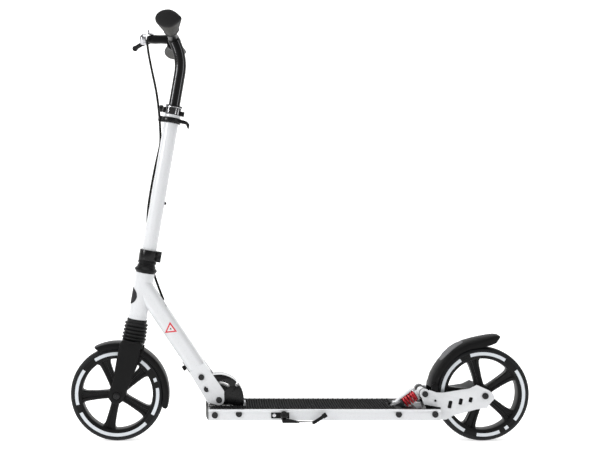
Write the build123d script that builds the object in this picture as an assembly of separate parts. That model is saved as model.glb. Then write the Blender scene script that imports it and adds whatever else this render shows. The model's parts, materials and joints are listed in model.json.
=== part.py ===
"""Folding kick scooter: +X towards the rear wheel, +Y to the rider's right, +Z up, floor at Z = 0."""
from build123d import *
from math import cos, radians, sin
import os

# ---------------------------------------------------------------- driving dimensions, mm and degrees
WHEEL_R = 102.5            # tyre radius
WHEELBASE = 797.0
TYRE_HALF = 15.0           # half width of a tyre
RIM_R = 93.0               # outside of the rim, where the tyre sits
WINDOW_R = 77.5            # outside of the gaps between the spokes
HUB_R = 19.0
SPOKES = 5
HUB_HALF = 16.0
BEARING_R = 11.0
BEARING_WIDE = 7.0
AXLE_R = 4.0
AXLE_HEAD_R = 6.6
NUT_POCKET_R = 8.6
RUN = 0.05                 # radial clearance of a running fit

HEAD_LEAN = 9.8            # the steering axis leans back by this much
FORK_RAKE = 14.6           # the axle stands this far ahead of the steering axis
T_CROWN, T_BOOT, T_HEAD = 114.5, 122.0, 168.0          # heights along the steering axis
T_COVER, T_NECK, T_CLAMP, T_STEM = 270.5, 283.0, 298.0, 321.0
T_BAND, T_LIP, T_COLLAR, T_LID = 603.0, 615.0, 621.4, 642.0
T_BEND = 712.4
STEERER_R, STEERER_BORE = 14.3, 12.9
HEAD_R, HEAD_BORE, CUP_BORE = 20.0, 17.0, 15.6
STEM_R, STEM_BORE = 16.0, 14.4
POST_R, POST_BORE = 12.5, 10.7
BAR_R, BAR_HALF = 11.0, 204.0
BEND_R, BEND_CORNER, BEND_LEAN, BEND_END = 113.0, 33.9, 23.6, 51.4

DECK_FRONT, DECK_REAR = -200.0, 296.0
DECK_HALF, DECK_WALL, LIP_OUT = 55.5, 3.0, 2.0
DECK_LOW, DECK_TOP = 55.5, 79.0
PLATE_LOW, PLATE_TOP = 72.0, 75.0
LIP_LOW = 73.6
MAT_END = 216.0
CUT_FRONT, CUT_HALF = 190.0, 42.0                      # opening for the rear spring

PIVOT = (-176.6, 91.5)     # fold pivot, X and Z
TUBE_RISE = 56.1           # slope of the down tube
TUBE_OFF, TUBE_DEPTH, TUBE_HALF, TUBE_WALL = 1.2, 39.0, 20.0, 3.0
QUADRANT_R, QUADRANT_HALF, COVER_T = 54.0, 13.0, 3.0
PORT_R = 3.4               # hole in the down tube for the brake cable
FRAME_HEAD_R, DECK_HEAD_R = 6.4, 6.6
STOP_R, STOP_FROM, STOP_TO = 35.7, 57.0, 139.8         # slot that the stop bolt runs in
LOCK_ANGLES = (39.5, 119.5)
FOLD_BOLT_R, STOP_BOLT_R, LATCH_R = 5.0, 3.0, 3.0

SHOCK_LOW = (206.3, 68.6)  # front eye of the shock
SHOCK_TOP = (268.4, 106.6) # rear eye, in the swing arm
ARM_PIVOT = (284.0, 68.6)
BRAKE_PIVOT = (290.6, 92.2)
CHEEK_IN, CHEEK_OUT = 27.0, 31.0
CHEEK_SLOT = 8.6
BRAKE_PIN_R = 2.5
BRAKE_IN, BRAKE_OUT, BRAKE_HALF = 112.0, 116.0, 22.5   # foot brake: radii over the wheel, half width
SHOCK_WIRE, SHOCK_COIL, SHOCK_TURNS, SEAT_R = 1.9, 9.2, 5, 12.0
LEG_IN, LEG_OUT = 25.0, 31.0
GUARD_IN, GUARD_OUT, GUARD_HALF, GUARD_SKIRT = 110.5, 113.2, 23.0, 99.0
BOOT_BORE, BOOT_VALLEY, BOOT_PEAK, BOOT_RIBS = 19.4, 21.6, 25.4, 5
CABLE_R = 2.4
MAT_RIBS, MAT_PITCH, MAT_RIB_HALF = 37, 11.0, 2.6
STAND_AT, STAND_SPLAY, STAND_LEG_R = (-39.4, 65.8), 42.0, 3.6
DECK_BOLTS = ((-186.0, 66.8, False), (-134.8, 69.6, True), (SHOCK_LOW[0], SHOCK_LOW[1], True),
              (ARM_PIVOT[0], ARM_PIVOT[1], False))     # X, Z, head flat against the lip

AXLE_X = WHEELBASE / 2
LEAN = radians(HEAD_LEAN)
FOOT = (-AXLE_X + FORK_RAKE * cos(LEAN), WHEEL_R - FORK_RAKE * sin(LEAN))
AXIS = Plane(origin=(FOOT[0], 0, FOOT[1]), x_dir=(cos(LEAN), 0, -sin(LEAN)),
             z_dir=(sin(LEAN), 0, cos(LEAN)))          # local z runs up the steering axis
RISE = radians(TUBE_RISE)
TUBE = Plane(origin=(PIVOT[0], 0, PIVOT[1]), x_dir=(-sin(RISE), 0, -cos(RISE)),
             z_dir=(-cos(RISE), 0, sin(RISE)))         # local z up the tube, local x to its underside
os.makedirs("parts", exist_ok=True)
NODES = {}


# ---------------------------------------------------------------- shared shapes
def add(name, *solids):
    """Keep a node, as one solid or as several separate ones."""
    NODES[name] = solids


def slab(face, low, high):
    """Extrude a face drawn in X and Z from Y = low to Y = high."""
    return extrude(Plane.XZ.offset(-high) * face, amount=high - low)


def rod(x, z, r, low, high, bore=0.0):
    """A cylinder along Y."""
    face = Pos(x, z) * Circle(r)
    if bore:
        face -= Pos(x, z) * Circle(bore)
    return slab(face, low, high)


def ring(r, low, high, bore=0.0, x=0.0, y=0.0):
    """A cylinder along the steering axis."""
    body = Cylinder(r, high - low)
    if bore:
        body -= Cylinder(bore, high - low)
    return AXIS * Pos(x, y, (low + high) / 2) * body


def turned(*profile):
    """Turn an outline of (radius, height) points about the steering axis."""
    face = Plane.XZ * make_face(Polyline(*profile, close=True))
    return AXIS * revolve(face, Axis.Z)


def block(low, high):
    """A box between two corners."""
    size = [b - a for a, b in zip(low, high)]
    centre = [(a + b) / 2 for a, b in zip(low, high)]
    return Pos(*centre) * Box(*size)


def link(a, b, ra, rb):
    """The outline of two circles and the straight sides that join them."""
    return make_hull((Pos(*a) * Circle(ra)).edges() + (Pos(*b) * Circle(rb)).edges())


def outline(*points):
    return make_face(Polyline(*points, close=True))


def pipe(points, radii, r, bore=0.0):
    """A round tube along straight runs and arcs."""
    path = FilletPolyline(*points, radius=radii)
    start = Plane(origin=path @ 0, z_dir=path % 0)
    face = start * Circle(r)
    if bore:
        face -= start * Circle(bore)
    return sweep(face, path=path)


def coil(r, wire_r, pitch, turns, place):
    """A spring: wire wound round local z from 0 up."""
    path = Helix(pitch, pitch * turns, r)
    start = Plane(origin=path @ 0, z_dir=path % 0)
    return place * sweep(start * Circle(wire_r), path=path, is_frenet=True)


def polar(centre, r, angle):
    """A point in X and Z at an angle from +X towards +Z."""
    return (centre[0] + r * cos(radians(angle)), centre[1] + r * sin(radians(angle)))


def sector(centre, inner, outer, start, end):
    """A curved strip in X and Z."""
    lines = [CenterArc(centre, outer, start, end - start), CenterArc(centre, inner, start, end - start)]
    lines += [Line(polar(centre, inner, a), polar(centre, outer, a)) for a in (start, end)]
    return make_face(lines)


# ---------------------------------------------------------------- wheels
def wheel(prefix, x, first_angle):
    """A tyre, a rim with wide spokes, and two ball bearings."""
    centre = (x, WHEEL_R)
    tread = Polyline((RIM_R, -TYRE_HALF), (98.5, -TYRE_HALF), (101.8, -10.0), (WHEEL_R, -5.0),
                     (WHEEL_R, 5.0), (101.8, 10.0), (98.5, TYRE_HALF), (RIM_R, TYRE_HALF), close=True)
    tyre = revolve(make_face(tread), Axis.Y)
    add(prefix + "_tyre", Pos(x, 0, WHEEL_R) * tyre)
    rim = rod(*centre, RIM_R, -TYRE_HALF, TYRE_HALF, bore=WINDOW_R)
    rim += rod(*centre, HUB_R, -HUB_HALF, HUB_HALF)
    for i in range(SPOKES):
        angle = first_angle + i * 360 / SPOKES
        arm = outline((12, -8.5), (WINDOW_R + 4, -13.0), (WINDOW_R + 4, 13.0), (12, 8.5))
        spoke = slab(Pos(*centre) * Rot(0, 0, angle) * arm, -10.0, 10.0)
        groove = outline((24, -2.2), (WINDOW_R - 4, -3.2), (WINDOW_R - 4, 3.2), (24, 2.2))
        for low, high in ((-11.0, -7.0), (7.0, 11.0)):
            spoke -= slab(Pos(*centre) * Rot(0, 0, angle) * groove, low, high)
        rim += spoke
    seats = (-HUB_HALF, HUB_HALF - BEARING_WIDE)
    for low in seats:
        rim -= rod(*centre, BEARING_R, low, low + BEARING_WIDE)
    rim -= rod(*centre, 7.0, -17.0, 17.0)
    add(prefix + "_rim", rim)
    bearings = [rod(*centre, BEARING_R, low, low + BEARING_WIDE, bore=AXLE_R + RUN) for low in seats]
    add(prefix + "_bearings", *bearings)


def axle(name, x, half, inner):
    """A through bolt with a head and a nut, and two spacers beside the bearings."""
    centre = (x, WHEEL_R)
    bolt = rod(*centre, AXLE_R, -half, half) + rod(*centre, AXLE_HEAD_R, -half - 3.0, -half)
    bolt -= slab(Pos(*centre) * RegularPolygon(2.6, 6), -half - 4.0, -half - 1.2)
    bolt -= rod(*centre, AXLE_HEAD_R, half - 1.0, half + 9.0)
    bolt += rod(*centre, AXLE_R - 0.01, half - 2.0, half + 4.0)
    nut = slab(Pos(*centre) * RegularPolygon(7.5, 6), half - 2.0, half + 3.0)
    nut -= rod(*centre, AXLE_R, half - 3.0, half + 9.0)
    gap = HUB_HALF + 0.1
    spacers = [rod(*centre, 6.5, a, b, bore=AXLE_R) for a, b in ((-inner, -gap), (gap, inner))]
    add(name, bolt, nut, *spacers)


wheel("front", -AXLE_X, 40.5)
wheel("rear", AXLE_X, 33.0)
axle("front_axle", -AXLE_X, LEG_OUT, LEG_IN)
axle("rear_axle", AXLE_X, CHEEK_OUT, CHEEK_IN)

# ---------------------------------------------------------------- deck
half, wall = DECK_HALF, DECK_WALL
section = Pos(0, (DECK_LOW + DECK_TOP) / 2) * Rectangle(2 * half, DECK_TOP - DECK_LOW)
section += Pos(0, (LIP_LOW + DECK_TOP) / 2) * Rectangle(2 * half + 2 * LIP_OUT, DECK_TOP - LIP_LOW)
section -= Pos(0, (PLATE_TOP + DECK_TOP + 1) / 2) * Rectangle(2 * (half - wall), DECK_TOP - PLATE_TOP + 1)
floor_top = DECK_LOW + 2.5
for low, high in ((-half + wall, -19.5), (-17.0, 17.0), (19.5, half - wall)):
    cell = Rectangle(high - low, PLATE_LOW - floor_top)
    section -= Pos((low + high) / 2, (floor_top + PLATE_LOW) / 2) * cell
shell = extrude(Plane.YZ.offset(DECK_FRONT) * section, amount=DECK_REAR - DECK_FRONT)
shell -= block((CUT_FRONT, -CUT_HALF, floor_top), (DECK_REAR + 1, CUT_HALF, DECK_TOP + 1))
shell -= block((252.0, -CUT_HALF, DECK_LOW - 1), (DECK_REAR + 1, CUT_HALF, DECK_TOP))
shell -= block((-198.0, -17.0, PLATE_LOW - 1), (-122.0, 17.0, PLATE_TOP + 1))
shell -= block((DECK_FRONT - 1, -20.0, floor_top), (-122.0, 20.0, PLATE_LOW + 0.01))
for x, z, flat in DECK_BOLTS:
    shell -= rod(x, z, AXLE_R + RUN, -60.0, 60.0)
    if not flat:
        shell -= rod(x, z, 7.0, -half - LIP_OUT - 1, -half) + rod(x, z, 7.0, half, half + LIP_OUT + 1)
add("deck_shell", shell)

mat = block((-196.0, -half + wall + 0.2, PLATE_TOP), (MAT_END, half - wall - 0.2, 78.4))
for i in range(MAT_RIBS):
    x = -186.0 + MAT_PITCH * i
    mat += block((x - MAT_RIB_HALF, -half + wall + 2, 78.3), (x + MAT_RIB_HALF, half - wall - 2, 79.8))
mat -= block((-199.0, -17.2, PLATE_TOP - 1), (-117.0, 17.2, 81.0))
mat -= block((CUT_FRONT + 4, -14.0, PLATE_TOP - 1), (MAT_END + 1, 14.0, 81.0))
add("deck_grip", mat)

nose_arc = ThreePointArc((DECK_FRONT, half + 1.5), (DECK_FRONT - 5.5, 0), (DECK_FRONT, -half - 1.5))
nose = extrude(Pos(0, 0, DECK_LOW) * make_face([nose_arc, Line(nose_arc @ 0, nose_arc @ 1)]),
               amount=81.0 - DECK_LOW)
nose += block((DECK_FRONT, -half + 4.0, floor_top + 0.5), (DECK_FRONT + 3.0, -22.0, PLATE_LOW - 0.5))
nose += block((DECK_FRONT, 22.0, floor_top + 0.5), (DECK_FRONT + 3.0, half - 4.0, PLATE_LOW - 0.5))
add("nose_cap", nose)

tail = block((MAT_END, -half + wall + 0.2, PLATE_TOP), (DECK_REAR, half - wall - 0.2, 76.5))
tail -= block((MAT_END - 1, -35.0, 70.0), (DECK_REAR + 1, 35.0, 80.0))
tail += block((MAT_END + 6, -35.0, PLATE_LOW + 1.5), (250.0, 35.0, PLATE_TOP + 1.5))
tail += block((MAT_END + 6, -41.8, PLATE_LOW + 1.5), (250.0, 41.8, PLATE_TOP))
tail -= block((MAT_END, -14.5, 70.0), (246.0, 14.5, 80.0))
add("tail_cover", tail)

bolts = []
for x, z, flat in DECK_BOLTS:
    bolt = rod(x, z, AXLE_R, -half - 0.4, half + 0.4)
    for low in (-half - 3.0, half + 0.2):
        head = rod(x, z, DECK_HEAD_R, low, low + 2.8)
        if low < 0:
            head -= slab(Pos(x, z) * RegularPolygon(2.6, 6), low - 1, low + 1.2)
        if flat:
            head -= block((x - 9, low - 1, LIP_LOW - 0.1), (x + 9, low + 4, 90.0))
        bolt += head
    bolts.append(bolt)
add("deck_bolts", *bolts)

# ---------------------------------------------------------------- fold joint on the deck
def quadrant_face(outer):
    """Sector about the fold pivot, down to the deck plate."""
    face = sector(PIVOT, 1.0, outer, -22.0, 131.0)
    face += sector(PIVOT, 1.0, 42.5, 130.0, 152.0)
    face += Pos(*PIVOT) * Circle(12.0)
    face &= Pos(PIVOT[0], PLATE_TOP + 100) * Rectangle(300, 200)
    face -= Pos(*PIVOT) * Circle(FOLD_BOLT_R + RUN)
    slot = sector(PIVOT, STOP_R - 3.3, STOP_R + 3.3, STOP_FROM - 1, STOP_TO + 1)
    slot += Pos(*polar(PIVOT, STOP_R, STOP_FROM - 1)) * Circle(3.3)
    slot += Pos(*polar(PIVOT, STOP_R, STOP_TO + 1)) * Circle(3.3)
    face -= slot
    return face


def notches(outer):
    """Two rim notches that the latch pin drops into."""
    cuts = [link(polar(PIVOT, outer - 3.6, a), polar(PIVOT, outer + 8, a), 3.8, 5.2) for a in LOCK_ANGLES]
    return sum(cuts[1:], cuts[0])


plate = slab(quadrant_face(QUADRANT_R) - notches(QUADRANT_R), -QUADRANT_HALF, QUADRANT_HALF)
foot = block((-197.0, -16.5, floor_top + 0.1), (-123.0, 16.5, PLATE_TOP))
for x, z, flat in DECK_BOLTS[:2]:
    foot -= rod(x, z, AXLE_R + RUN, -20.0, 20.0)
lug = block((-128.0, -9.0, PLATE_TOP), (-118.6, 9.0, 78.3)) + rod(-120.2, 83.0, 2.2, -9.0, 9.0)
lug += block((-122.0, -9.0, 75.0), (-118.6, 9.0, 83.0))
add("fold_quadrant", plate + foot + lug)
covers = []
for low in (-QUADRANT_HALF - COVER_T, QUADRANT_HALF):
    cover = slab(quadrant_face(QUADRANT_R + 0.2) - notches(QUADRANT_R), low, low + COVER_T)
    covers.append(cover)
add("quadrant_covers", *covers)

# ---------------------------------------------------------------- front frame
def tube_section(shrink):
    """The down tube's outline, drawn in by a wall thickness."""
    return RectangleRounded(TUBE_DEPTH - 2 * shrink, 2 * (TUBE_HALF - shrink), 13.0 - shrink)


tube_low, tube_high = 30.0, 345.0
tube = extrude(TUBE * Pos(TUBE_OFF, 0, tube_low) * tube_section(0.0), amount=tube_high - tube_low)
cheek = make_hull(Circle(11.3).edges() + outline((24.0, 9.0), (20.7, 85.0), (-18.3, 85.0),
                                                 (-20.0, 10.0)).edges())
for side in (1, -1):
    sheet = TUBE * Pos(0, side * (TUBE_HALF - TUBE_WALL / 2), 0) * Rot(90, 0, 0) * cheek
    tube += extrude(sheet, amount=TUBE_WALL / 2, both=True)
hollow = TUBE * Pos(TUBE_OFF, 0, 59.0) * tube_section(TUBE_WALL)
tube -= extrude(hollow, amount=tube_high - 59.0)
tube -= TUBE * Pos(0, 0, 25.0) * Box(90, 34.0, 70.0)
head_cut = ring(HEAD_R, T_HEAD - 60, T_COVER + 60)
beyond = AXIS * Pos(-100, 0, 230) * Box(200, 100, 500)
tube = tube - head_cut - beyond
tube -= rod(*PIVOT, FOLD_BOLT_R, -30, 30)
stop = polar(PIVOT, STOP_R, 138.4)
guide = TUBE.from_local_coords(Vector(4.4, 0, 62.5))
tube -= rod(*stop, STOP_BOLT_R, -30, 30)
tube -= rod(guide.X, guide.Z, STOP_BOLT_R, -30, 30)
tube -= TUBE * Pos(20.0, 0, 96.0) * Box(12, 6.4, 26.0)
port_at = TUBE.from_local_coords(Vector(TUBE_OFF - TUBE_DEPTH / 2, 9.0, 244.0))
port_path = Plane(origin=port_at, z_dir=(-0.30, 0.05, 0.95))
tube -= port_path * Pos(0, 0, -6) * Cylinder(PORT_R, 34)
tube_parts = sorted(tube.solids(), key=lambda s: s.volume)
add("down_tube", tube_parts[-1])

head = ring(HEAD_R, T_HEAD, T_COVER - 0.3, bore=HEAD_BORE)
for low in (T_HEAD, T_COVER - 7.3):
    head += ring(HEAD_R + 0.7, low, low + 7.0, bore=HEAD_BORE)
add("head_tube", head)
lower_cup = ring(HEAD_BORE, T_HEAD, T_HEAD + 9, bore=CUP_BORE)
upper_cup = ring(HEAD_BORE, T_COVER - 9.3, T_COVER - 0.3, bore=CUP_BORE)
add("headset_cups", lower_cup, upper_cup)


def capped_bolt(x, z, r, head_r, flat=False, inner=0.0):
    """A bolt across the down tube; inner leaves two short screws instead of one through bolt."""
    pieces = []
    reach = TUBE_HALF + 0.2
    spans = ((-reach, -inner), (inner, reach)) if inner else ((-reach, reach),)
    for low, high in spans:
        piece = rod(x, z, r, low, high)
        for end in (-TUBE_HALF - 2.4, TUBE_HALF):
            if (end < 0 and low < 0) or (end > 0 and high > 0):
                head = rod(x, z, head_r, end, end + 2.4)
                if end < 0:
                    head -= slab(Pos(x, z) * RegularPolygon(2.4, 6), end - 1, end + 1.2)
                if flat:
                    beside = Pos(*polar((x, z), 11.0, 90 - TUBE_RISE)) * Rot(0, 0, -TUBE_RISE)
                    head -= slab(beside * Rectangle(30, 20), end - 1, end + 4)
                piece += head
        pieces.append(piece)
    return pieces


frame_bolts = capped_bolt(*PIVOT, FOLD_BOLT_R, DECK_HEAD_R)
frame_bolts += capped_bolt(*stop, STOP_BOLT_R, FRAME_HEAD_R, flat=True)
frame_bolts += capped_bolt(guide.X, guide.Z, STOP_BOLT_R, FRAME_HEAD_R, inner=15.0)
add("frame_bolts", *frame_bolts)

under = TUBE_OFF + TUBE_DEPTH / 2
add("latch_plate", TUBE * Pos(under + 0.75, 0, 94.0) * (Box(1.5, 13.0, 34.0) - Box(2, 6.4, 26.0)))

# The latch: a cross pin over the quadrant's rim, a bar inside the tube and a knob underneath.
pin_at = polar(PIVOT, QUADRANT_R + LATCH_R + 0.3, LOCK_ANGLES[1])
pin_local = TUBE.to_local_coords(Vector(pin_at[0], 0, pin_at[1]))
pin = rod(*pin_at, LATCH_R, -14.0, 14.0)
bar_low, bar_high = pin_local.Z + 7.0, 102.0
bar = TUBE * Pos((pin_local.X + 6.0) / 2, 0, (bar_low + bar_high) / 2) * Box(9.0, 6.0, bar_high - bar_low)
bar += TUBE * Pos(pin_local.X, 0, pin_local.Z + 4.0) * Box(4.4, 6.0, 8.0)
stalk = TUBE * Pos((6.0 + under + 3.0) / 2, 0, 97.0) * Box(under + 3.0 - 4.0, 5.6, 6.0)
knob = TUBE * Pos(under + 6.0, 0, 97.0) * Rot(0, 90, 0) * Cylinder(5.5, 6.0)
add("latch_slider", pin + bar + stalk + knob)

# ---------------------------------------------------------------- steering
steerer = ring(STEERER_R, 145.0, T_STEM, bore=STEERER_BORE) + ring(STEERER_BORE + 0.5, 245.0, 249.0)
add("steerer_tube", steerer)
lower_bearing = ring(CUP_BORE - RUN, T_HEAD + 1, T_HEAD + 7, bore=STEERER_R)
upper_bearing = ring(CUP_BORE - RUN, T_COVER - 8, T_COVER - 2, bore=STEERER_R)
add("headset_bearings", lower_bearing, upper_bearing)
cover = turned((STEERER_R, T_COVER), (20.5, T_COVER), (24.4, 275.5), (24.4, 278.5), (20.0, T_NECK),
               (20.0, 286.5), (18.4, 288.0), (18.4, 290.5), (20.2, 292.0), (20.2, 295.0), (19.0, T_CLAMP),
               (STEM_R, T_CLAMP), (STEM_R, T_NECK), (STEERER_R, T_NECK))
race = turned((STEERER_R, 158.0), (17.0, 158.0), (19.0, 163.0), (19.0, T_HEAD - 0.3),
              (STEERER_R, T_HEAD - 0.3))
add("headset_cover", cover, race)
stem = ring(STEM_R, T_NECK, T_COLLAR, bore=STEM_BORE)
stem += ring(STEM_R + 1.6, T_LIP, T_COLLAR, bore=STEM_BORE)
stem -= AXIS * Pos(STEM_R, 0, 427.6) * Rot(0, 90, 0) * Cylinder(2.0, 12)
add("stem_tube", stem)
clamp = ring(20.3, T_CLAMP, T_STEM, bore=STEM_R)
clamp += AXIS * Pos(23.0, 0, (T_CLAMP + T_STEM) / 2) * Box(10.6, 17.0, T_STEM - T_CLAMP)
clamp -= AXIS * Pos(24.0, 0, (T_CLAMP + T_STEM) / 2) * Box(17.0, 1.6, 40.0)
clamp -= ring(STEM_R, T_CLAMP - 5, T_STEM + 5)
screws = []
for t in (T_CLAMP + 5.5, T_STEM - 5.5):
    place = AXIS * Pos(24.2, 0, t) * Rot(90, 0, 0)
    clamp -= place * Cylinder(2.0, 40)
    screws.append(place * (Cylinder(2.0, 18.6) + Pos(0, 0, 10.3) * Cylinder(3.6, 2.6)))
add("stem_clamp", clamp)
stud = AXIS * Pos(STEM_R - 0.5, 0, 427.6) * Rot(0, 90, 0) * Cylinder(1.9, 8.0)
stud += AXIS * Pos(STEM_R + 1.6, 0, 427.6) * Rot(0, 90, 0) * Cylinder(3.2, 3.0)
add("stem_screws", *screws, stud)

collar = ring(16.6, T_COLLAR, 637.0, bore=POST_R + RUN) + ring(18.4, 638.6, T_LID, bore=POST_R + RUN)
collar += ring(17.4, 637.0, 638.6, bore=POST_R + RUN)
collar += AXIS * Pos(20.5, 0, 626.5) * Box(9.0, 15.0, 10.0)
collar += AXIS * Pos(-19.0, 0, 630.0) * Box(7.0, 11.0, 12.0)
collar -= ring(POST_R + RUN, T_COLLAR - 1, T_LID + 1)
add("top_collar", collar)
band = ring(20.0, T_BAND, T_LIP, bore=STEM_R)
band += AXIS * Pos(-22.5, 1.0, (T_BAND + T_LIP) / 2) * Box(8.0, 8.0, T_LIP - T_BAND)
band -= AXIS * Pos(-25.0, -3.5, (T_BAND + T_LIP) / 2) * Box(14.0, 9.0, 8.0)
band -= ring(STEM_R, T_BAND - 1, T_LIP + 1)
qr_pivot = (-25.5, -3.5)
band += AXIS * Pos(-24.0, -3.5, T_LIP - 1.0) * Box(9.0, 9.0, 2.0)
band += AXIS * Pos(-24.0, -3.5, T_BAND + 1.0) * Box(9.0, 9.0, 2.0)
band += ring(1.8, T_BAND, T_LIP, x=qr_pivot[0], y=qr_pivot[1])
band -= ring(STEM_R, T_BAND - 1, T_LIP + 1)
add("quick_release_band", band)

lever_low = T_BAND + 2.3
lever = ring(24.2, lever_low, T_LIP - 2.3, bore=20.6)
lever &= AXIS * Pos(-5.0, -20.0, (T_BAND + T_LIP) / 2) * Box(44.0, 34.0, 20.0)
lever += ring(4.2, lever_low, T_LIP - 2.3, x=qr_pivot[0], y=qr_pivot[1])
tail_face = outline((14.0, lever_low), (33.0, lever_low - 0.5), (38.0, 596.5), (41.0, 597.0),
                    (40.5, 606.0), (35.0, 611.0), (28.0, T_LIP - 2.3), (14.0, T_LIP - 2.3))
lever += AXIS * Pos(0, -11.0, 0) * extrude(Plane.XZ * tail_face, amount=8.0)
lever -= ring(20.6, T_BAND - 9, T_LIP + 9)
lever -= ring(1.8 + RUN, T_BAND, T_LIP, x=qr_pivot[0], y=qr_pivot[1])
add("quick_release_lever", lever)
knob_body = AXIS * Pos(-27.0, 0, 631.5) * Rot(0, 90, 0) * Cylinder(7.6, 8.0)
knob_body += AXIS * Pos(-22.85, 0, 631.5) * Rot(0, 90, 0) * Cylinder(3.0, 0.5)
add("collar_knob", knob_body)

boot_profile = [(BOOT_BORE, T_BOOT + 0.1), (23.2, T_BOOT + 0.1)]
rib_pitch = (T_HEAD - 6.5 - T_BOOT) / BOOT_RIBS
for i in range(BOOT_RIBS):
    low = T_BOOT + 0.1 + i * rib_pitch
    boot_profile += [(BOOT_PEAK, low + 0.35 * rib_pitch), (BOOT_PEAK, low + 0.6 * rib_pitch),
                     (BOOT_VALLEY, low + rib_pitch)]
boot_profile += [(21.9, T_HEAD - 0.3), (BOOT_BORE, T_HEAD - 0.3)]
add("fork_boot", turned(*boot_profile))

# ---------------------------------------------------------------- fork
crown_box = AXIS * Pos(1.5, 0, (T_CROWN + T_BOOT) / 2) * Box(49.0, 2 * LEG_OUT, T_BOOT - T_CROWN)
leg_points = ((-391.8, 217.0), (-394.6, 201.0), (-400.4, 173.0), (-404.8, 138.0), (-415.0, 108.0),
              (-398.5, 90.0), (-381.0, 100.0), (-373.2, 116.7), (-369.0, 129.6), (-357.0, 157.8),
              (-352.0, 177.3), (-347.6, 193.5), (-344.4, 222.0), (-352.0, 224.5))
leg_face = outline(*leg_points) + Pos(-AXLE_X, WHEEL_R) * Circle(18.0)
trim = AXIS * Pos(0, 0, T_BOOT + 100) * Box(300, 100, 200)
fork = crown_box
for low in (-LEG_OUT, LEG_IN):
    fork += slab(leg_face, low, low + LEG_OUT - LEG_IN) - trim
fork -= rod(-AXLE_X, WHEEL_R, AXLE_R, -40, 40)
fork -= rod(-AXLE_X, WHEEL_R, NUT_POCKET_R, LEG_OUT - 2.0, LEG_OUT + 5)
fork -= ring(STEERER_BORE - RUN, T_CROWN - 10, T_BOOT + 10)
add("fork", fork)
slider = ring(STEERER_BORE - RUN, T_CROWN, 205.0, bore=10.0)
add("fork_slider", slider)
add("front_spring", coil(10.4, 1.5, 5.4, 6, AXIS * Pos(0, 0, 208.0)))

centre_f = (-AXLE_X, WHEEL_R)
guard = slab(sector(centre_f, GUARD_IN, GUARD_OUT, -15.0, 114.0), -GUARD_HALF, GUARD_HALF)
for low in (-GUARD_HALF, GUARD_HALF - 2.2):
    guard += slab(sector(centre_f, GUARD_SKIRT, GUARD_OUT, -15.0, 114.0), low, low + 2.2)
add("front_mudguard", guard - crown_box)

# ---------------------------------------------------------------- handlebar
up = Vector(sin(LEAN), 0, cos(LEAN))
foot_point = Vector(FOOT[0], 0, FOOT[1])
post_low = foot_point + up * 300.0
post_corner = foot_point + up * (T_BEND + BEND_CORNER)
lean_out = radians(BEND_LEAN)
bar_centre = post_corner + Vector(-sin(lean_out), 0, cos(lean_out)) * BEND_END
post = pipe([post_low, post_corner, bar_centre], [BEND_R], POST_R, bore=POST_BORE)
bar_x, bar_z = bar_centre.X, bar_centre.Z
post -= rod(bar_x, bar_z, BAR_R, -30, 30)
post -= AXIS * Pos(POST_R, 0, 402.6) * Box(9.0, 4.4, 158.0)
post_part = sorted(post.solids(), key=lambda s: s.volume)[-1]
add("upper_tube", post_part)
crossbar = rod(bar_x, bar_z, BAR_R, -BAR_HALF, BAR_HALF, bore=9.2)
add("crossbar", crossbar)


def grip(side):
    """A tapering wing grip, wide and flat at its outer end."""
    faces = []
    for y, a, b in ((100.0, 15.2, 15.0), (160.0, 18.5, 15.4), (203.0, 24.2, 15.6), (210.0, 22.5, 13.6)):
        place = Plane(origin=(bar_x, side * y, bar_z), x_dir=(1, 0, 0), z_dir=(0, side, 0))
        faces.append(place * Ellipse(a, b))
    body = loft(faces, ruled=True)
    return body - rod(bar_x, bar_z, BAR_R, -BAR_HALF - 0.01, BAR_HALF + 0.01)


add("grip_left", grip(-1))
add("grip_right", grip(1))

# Brake lever mount on the right, with a small bell on its front.
mount_z = bar_z + 10.5
mount = rod(bar_x, bar_z, 16.0, 64.0, 88.0)
mount += block((bar_x - 62.0, 66.0, mount_z - 9.0), (bar_x - 8.0, 94.0, mount_z + 8.0))
mount -= rod(bar_x, bar_z, BAR_R, 60, 95)
hinge_x, hinge_y = bar_x - 53.0, 88.0
lever_z = mount_z - 3.0
mount -= block((hinge_x - 12, hinge_y - 7.5, lever_z - 4.3), (hinge_x + 9, 99.0, lever_z + 4.3))
mount += Pos(hinge_x, hinge_y, mount_z) * Cylinder(2.5, 16.0)
add("brake_mount", mount)
bend_at, tip_at = (hinge_x - 22.0, hinge_y + 36.0), (hinge_x - 44.0, hinge_y + 100.0)
blade_face = link((hinge_x, hinge_y), bend_at, 6.0, 4.5) + link(bend_at, tip_at, 4.5, 4.5)
blade = Pos(0, 0, lever_z - 4.0) * extrude(blade_face, amount=8.0)
blade += Pos(hinge_x - 44.5, hinge_y + 102.0, lever_z) * Sphere(7.0)
blade -= Pos(hinge_x, hinge_y, lever_z) * Cylinder(2.5 + RUN, 20)
blade -= block((hinge_x + 6.2, hinge_y - 20, lever_z - 9), (hinge_x + 30, hinge_y + 9.0, lever_z + 9))
add("brake_lever", blade)
bell = Pos(bar_x - 62.2, 74.0, mount_z) * Rot(0, -90, 0) * extrude(Circle(12.0), amount=10.0)
bell += Pos(bar_x - 72.2, 74.0, mount_z) * Rot(0, -90, 0) * extrude(Circle(12.0), amount=5.0, taper=35)
add("bell_dome", bell)
striker_pin = (bar_x - 50.0, 74.0)
striker = Pos(0, 0, mount_z + 8.4) * extrude(link(striker_pin, (bar_x - 58.0, 60.0), 4.0, 3.0), amount=3.0)
striker += Pos(bar_x - 58.0, 60.0, mount_z + 12.9) * Cylinder(3.0, 9.0)
add("bell_striker", striker)

# ---------------------------------------------------------------- brake cable, in three lengths
def axis_point(x, y, t):
    """A point given in the steering frame."""
    point = AXIS.from_local_coords(Vector(x, y, t))
    return (point.X, point.Y, point.Z)


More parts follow.
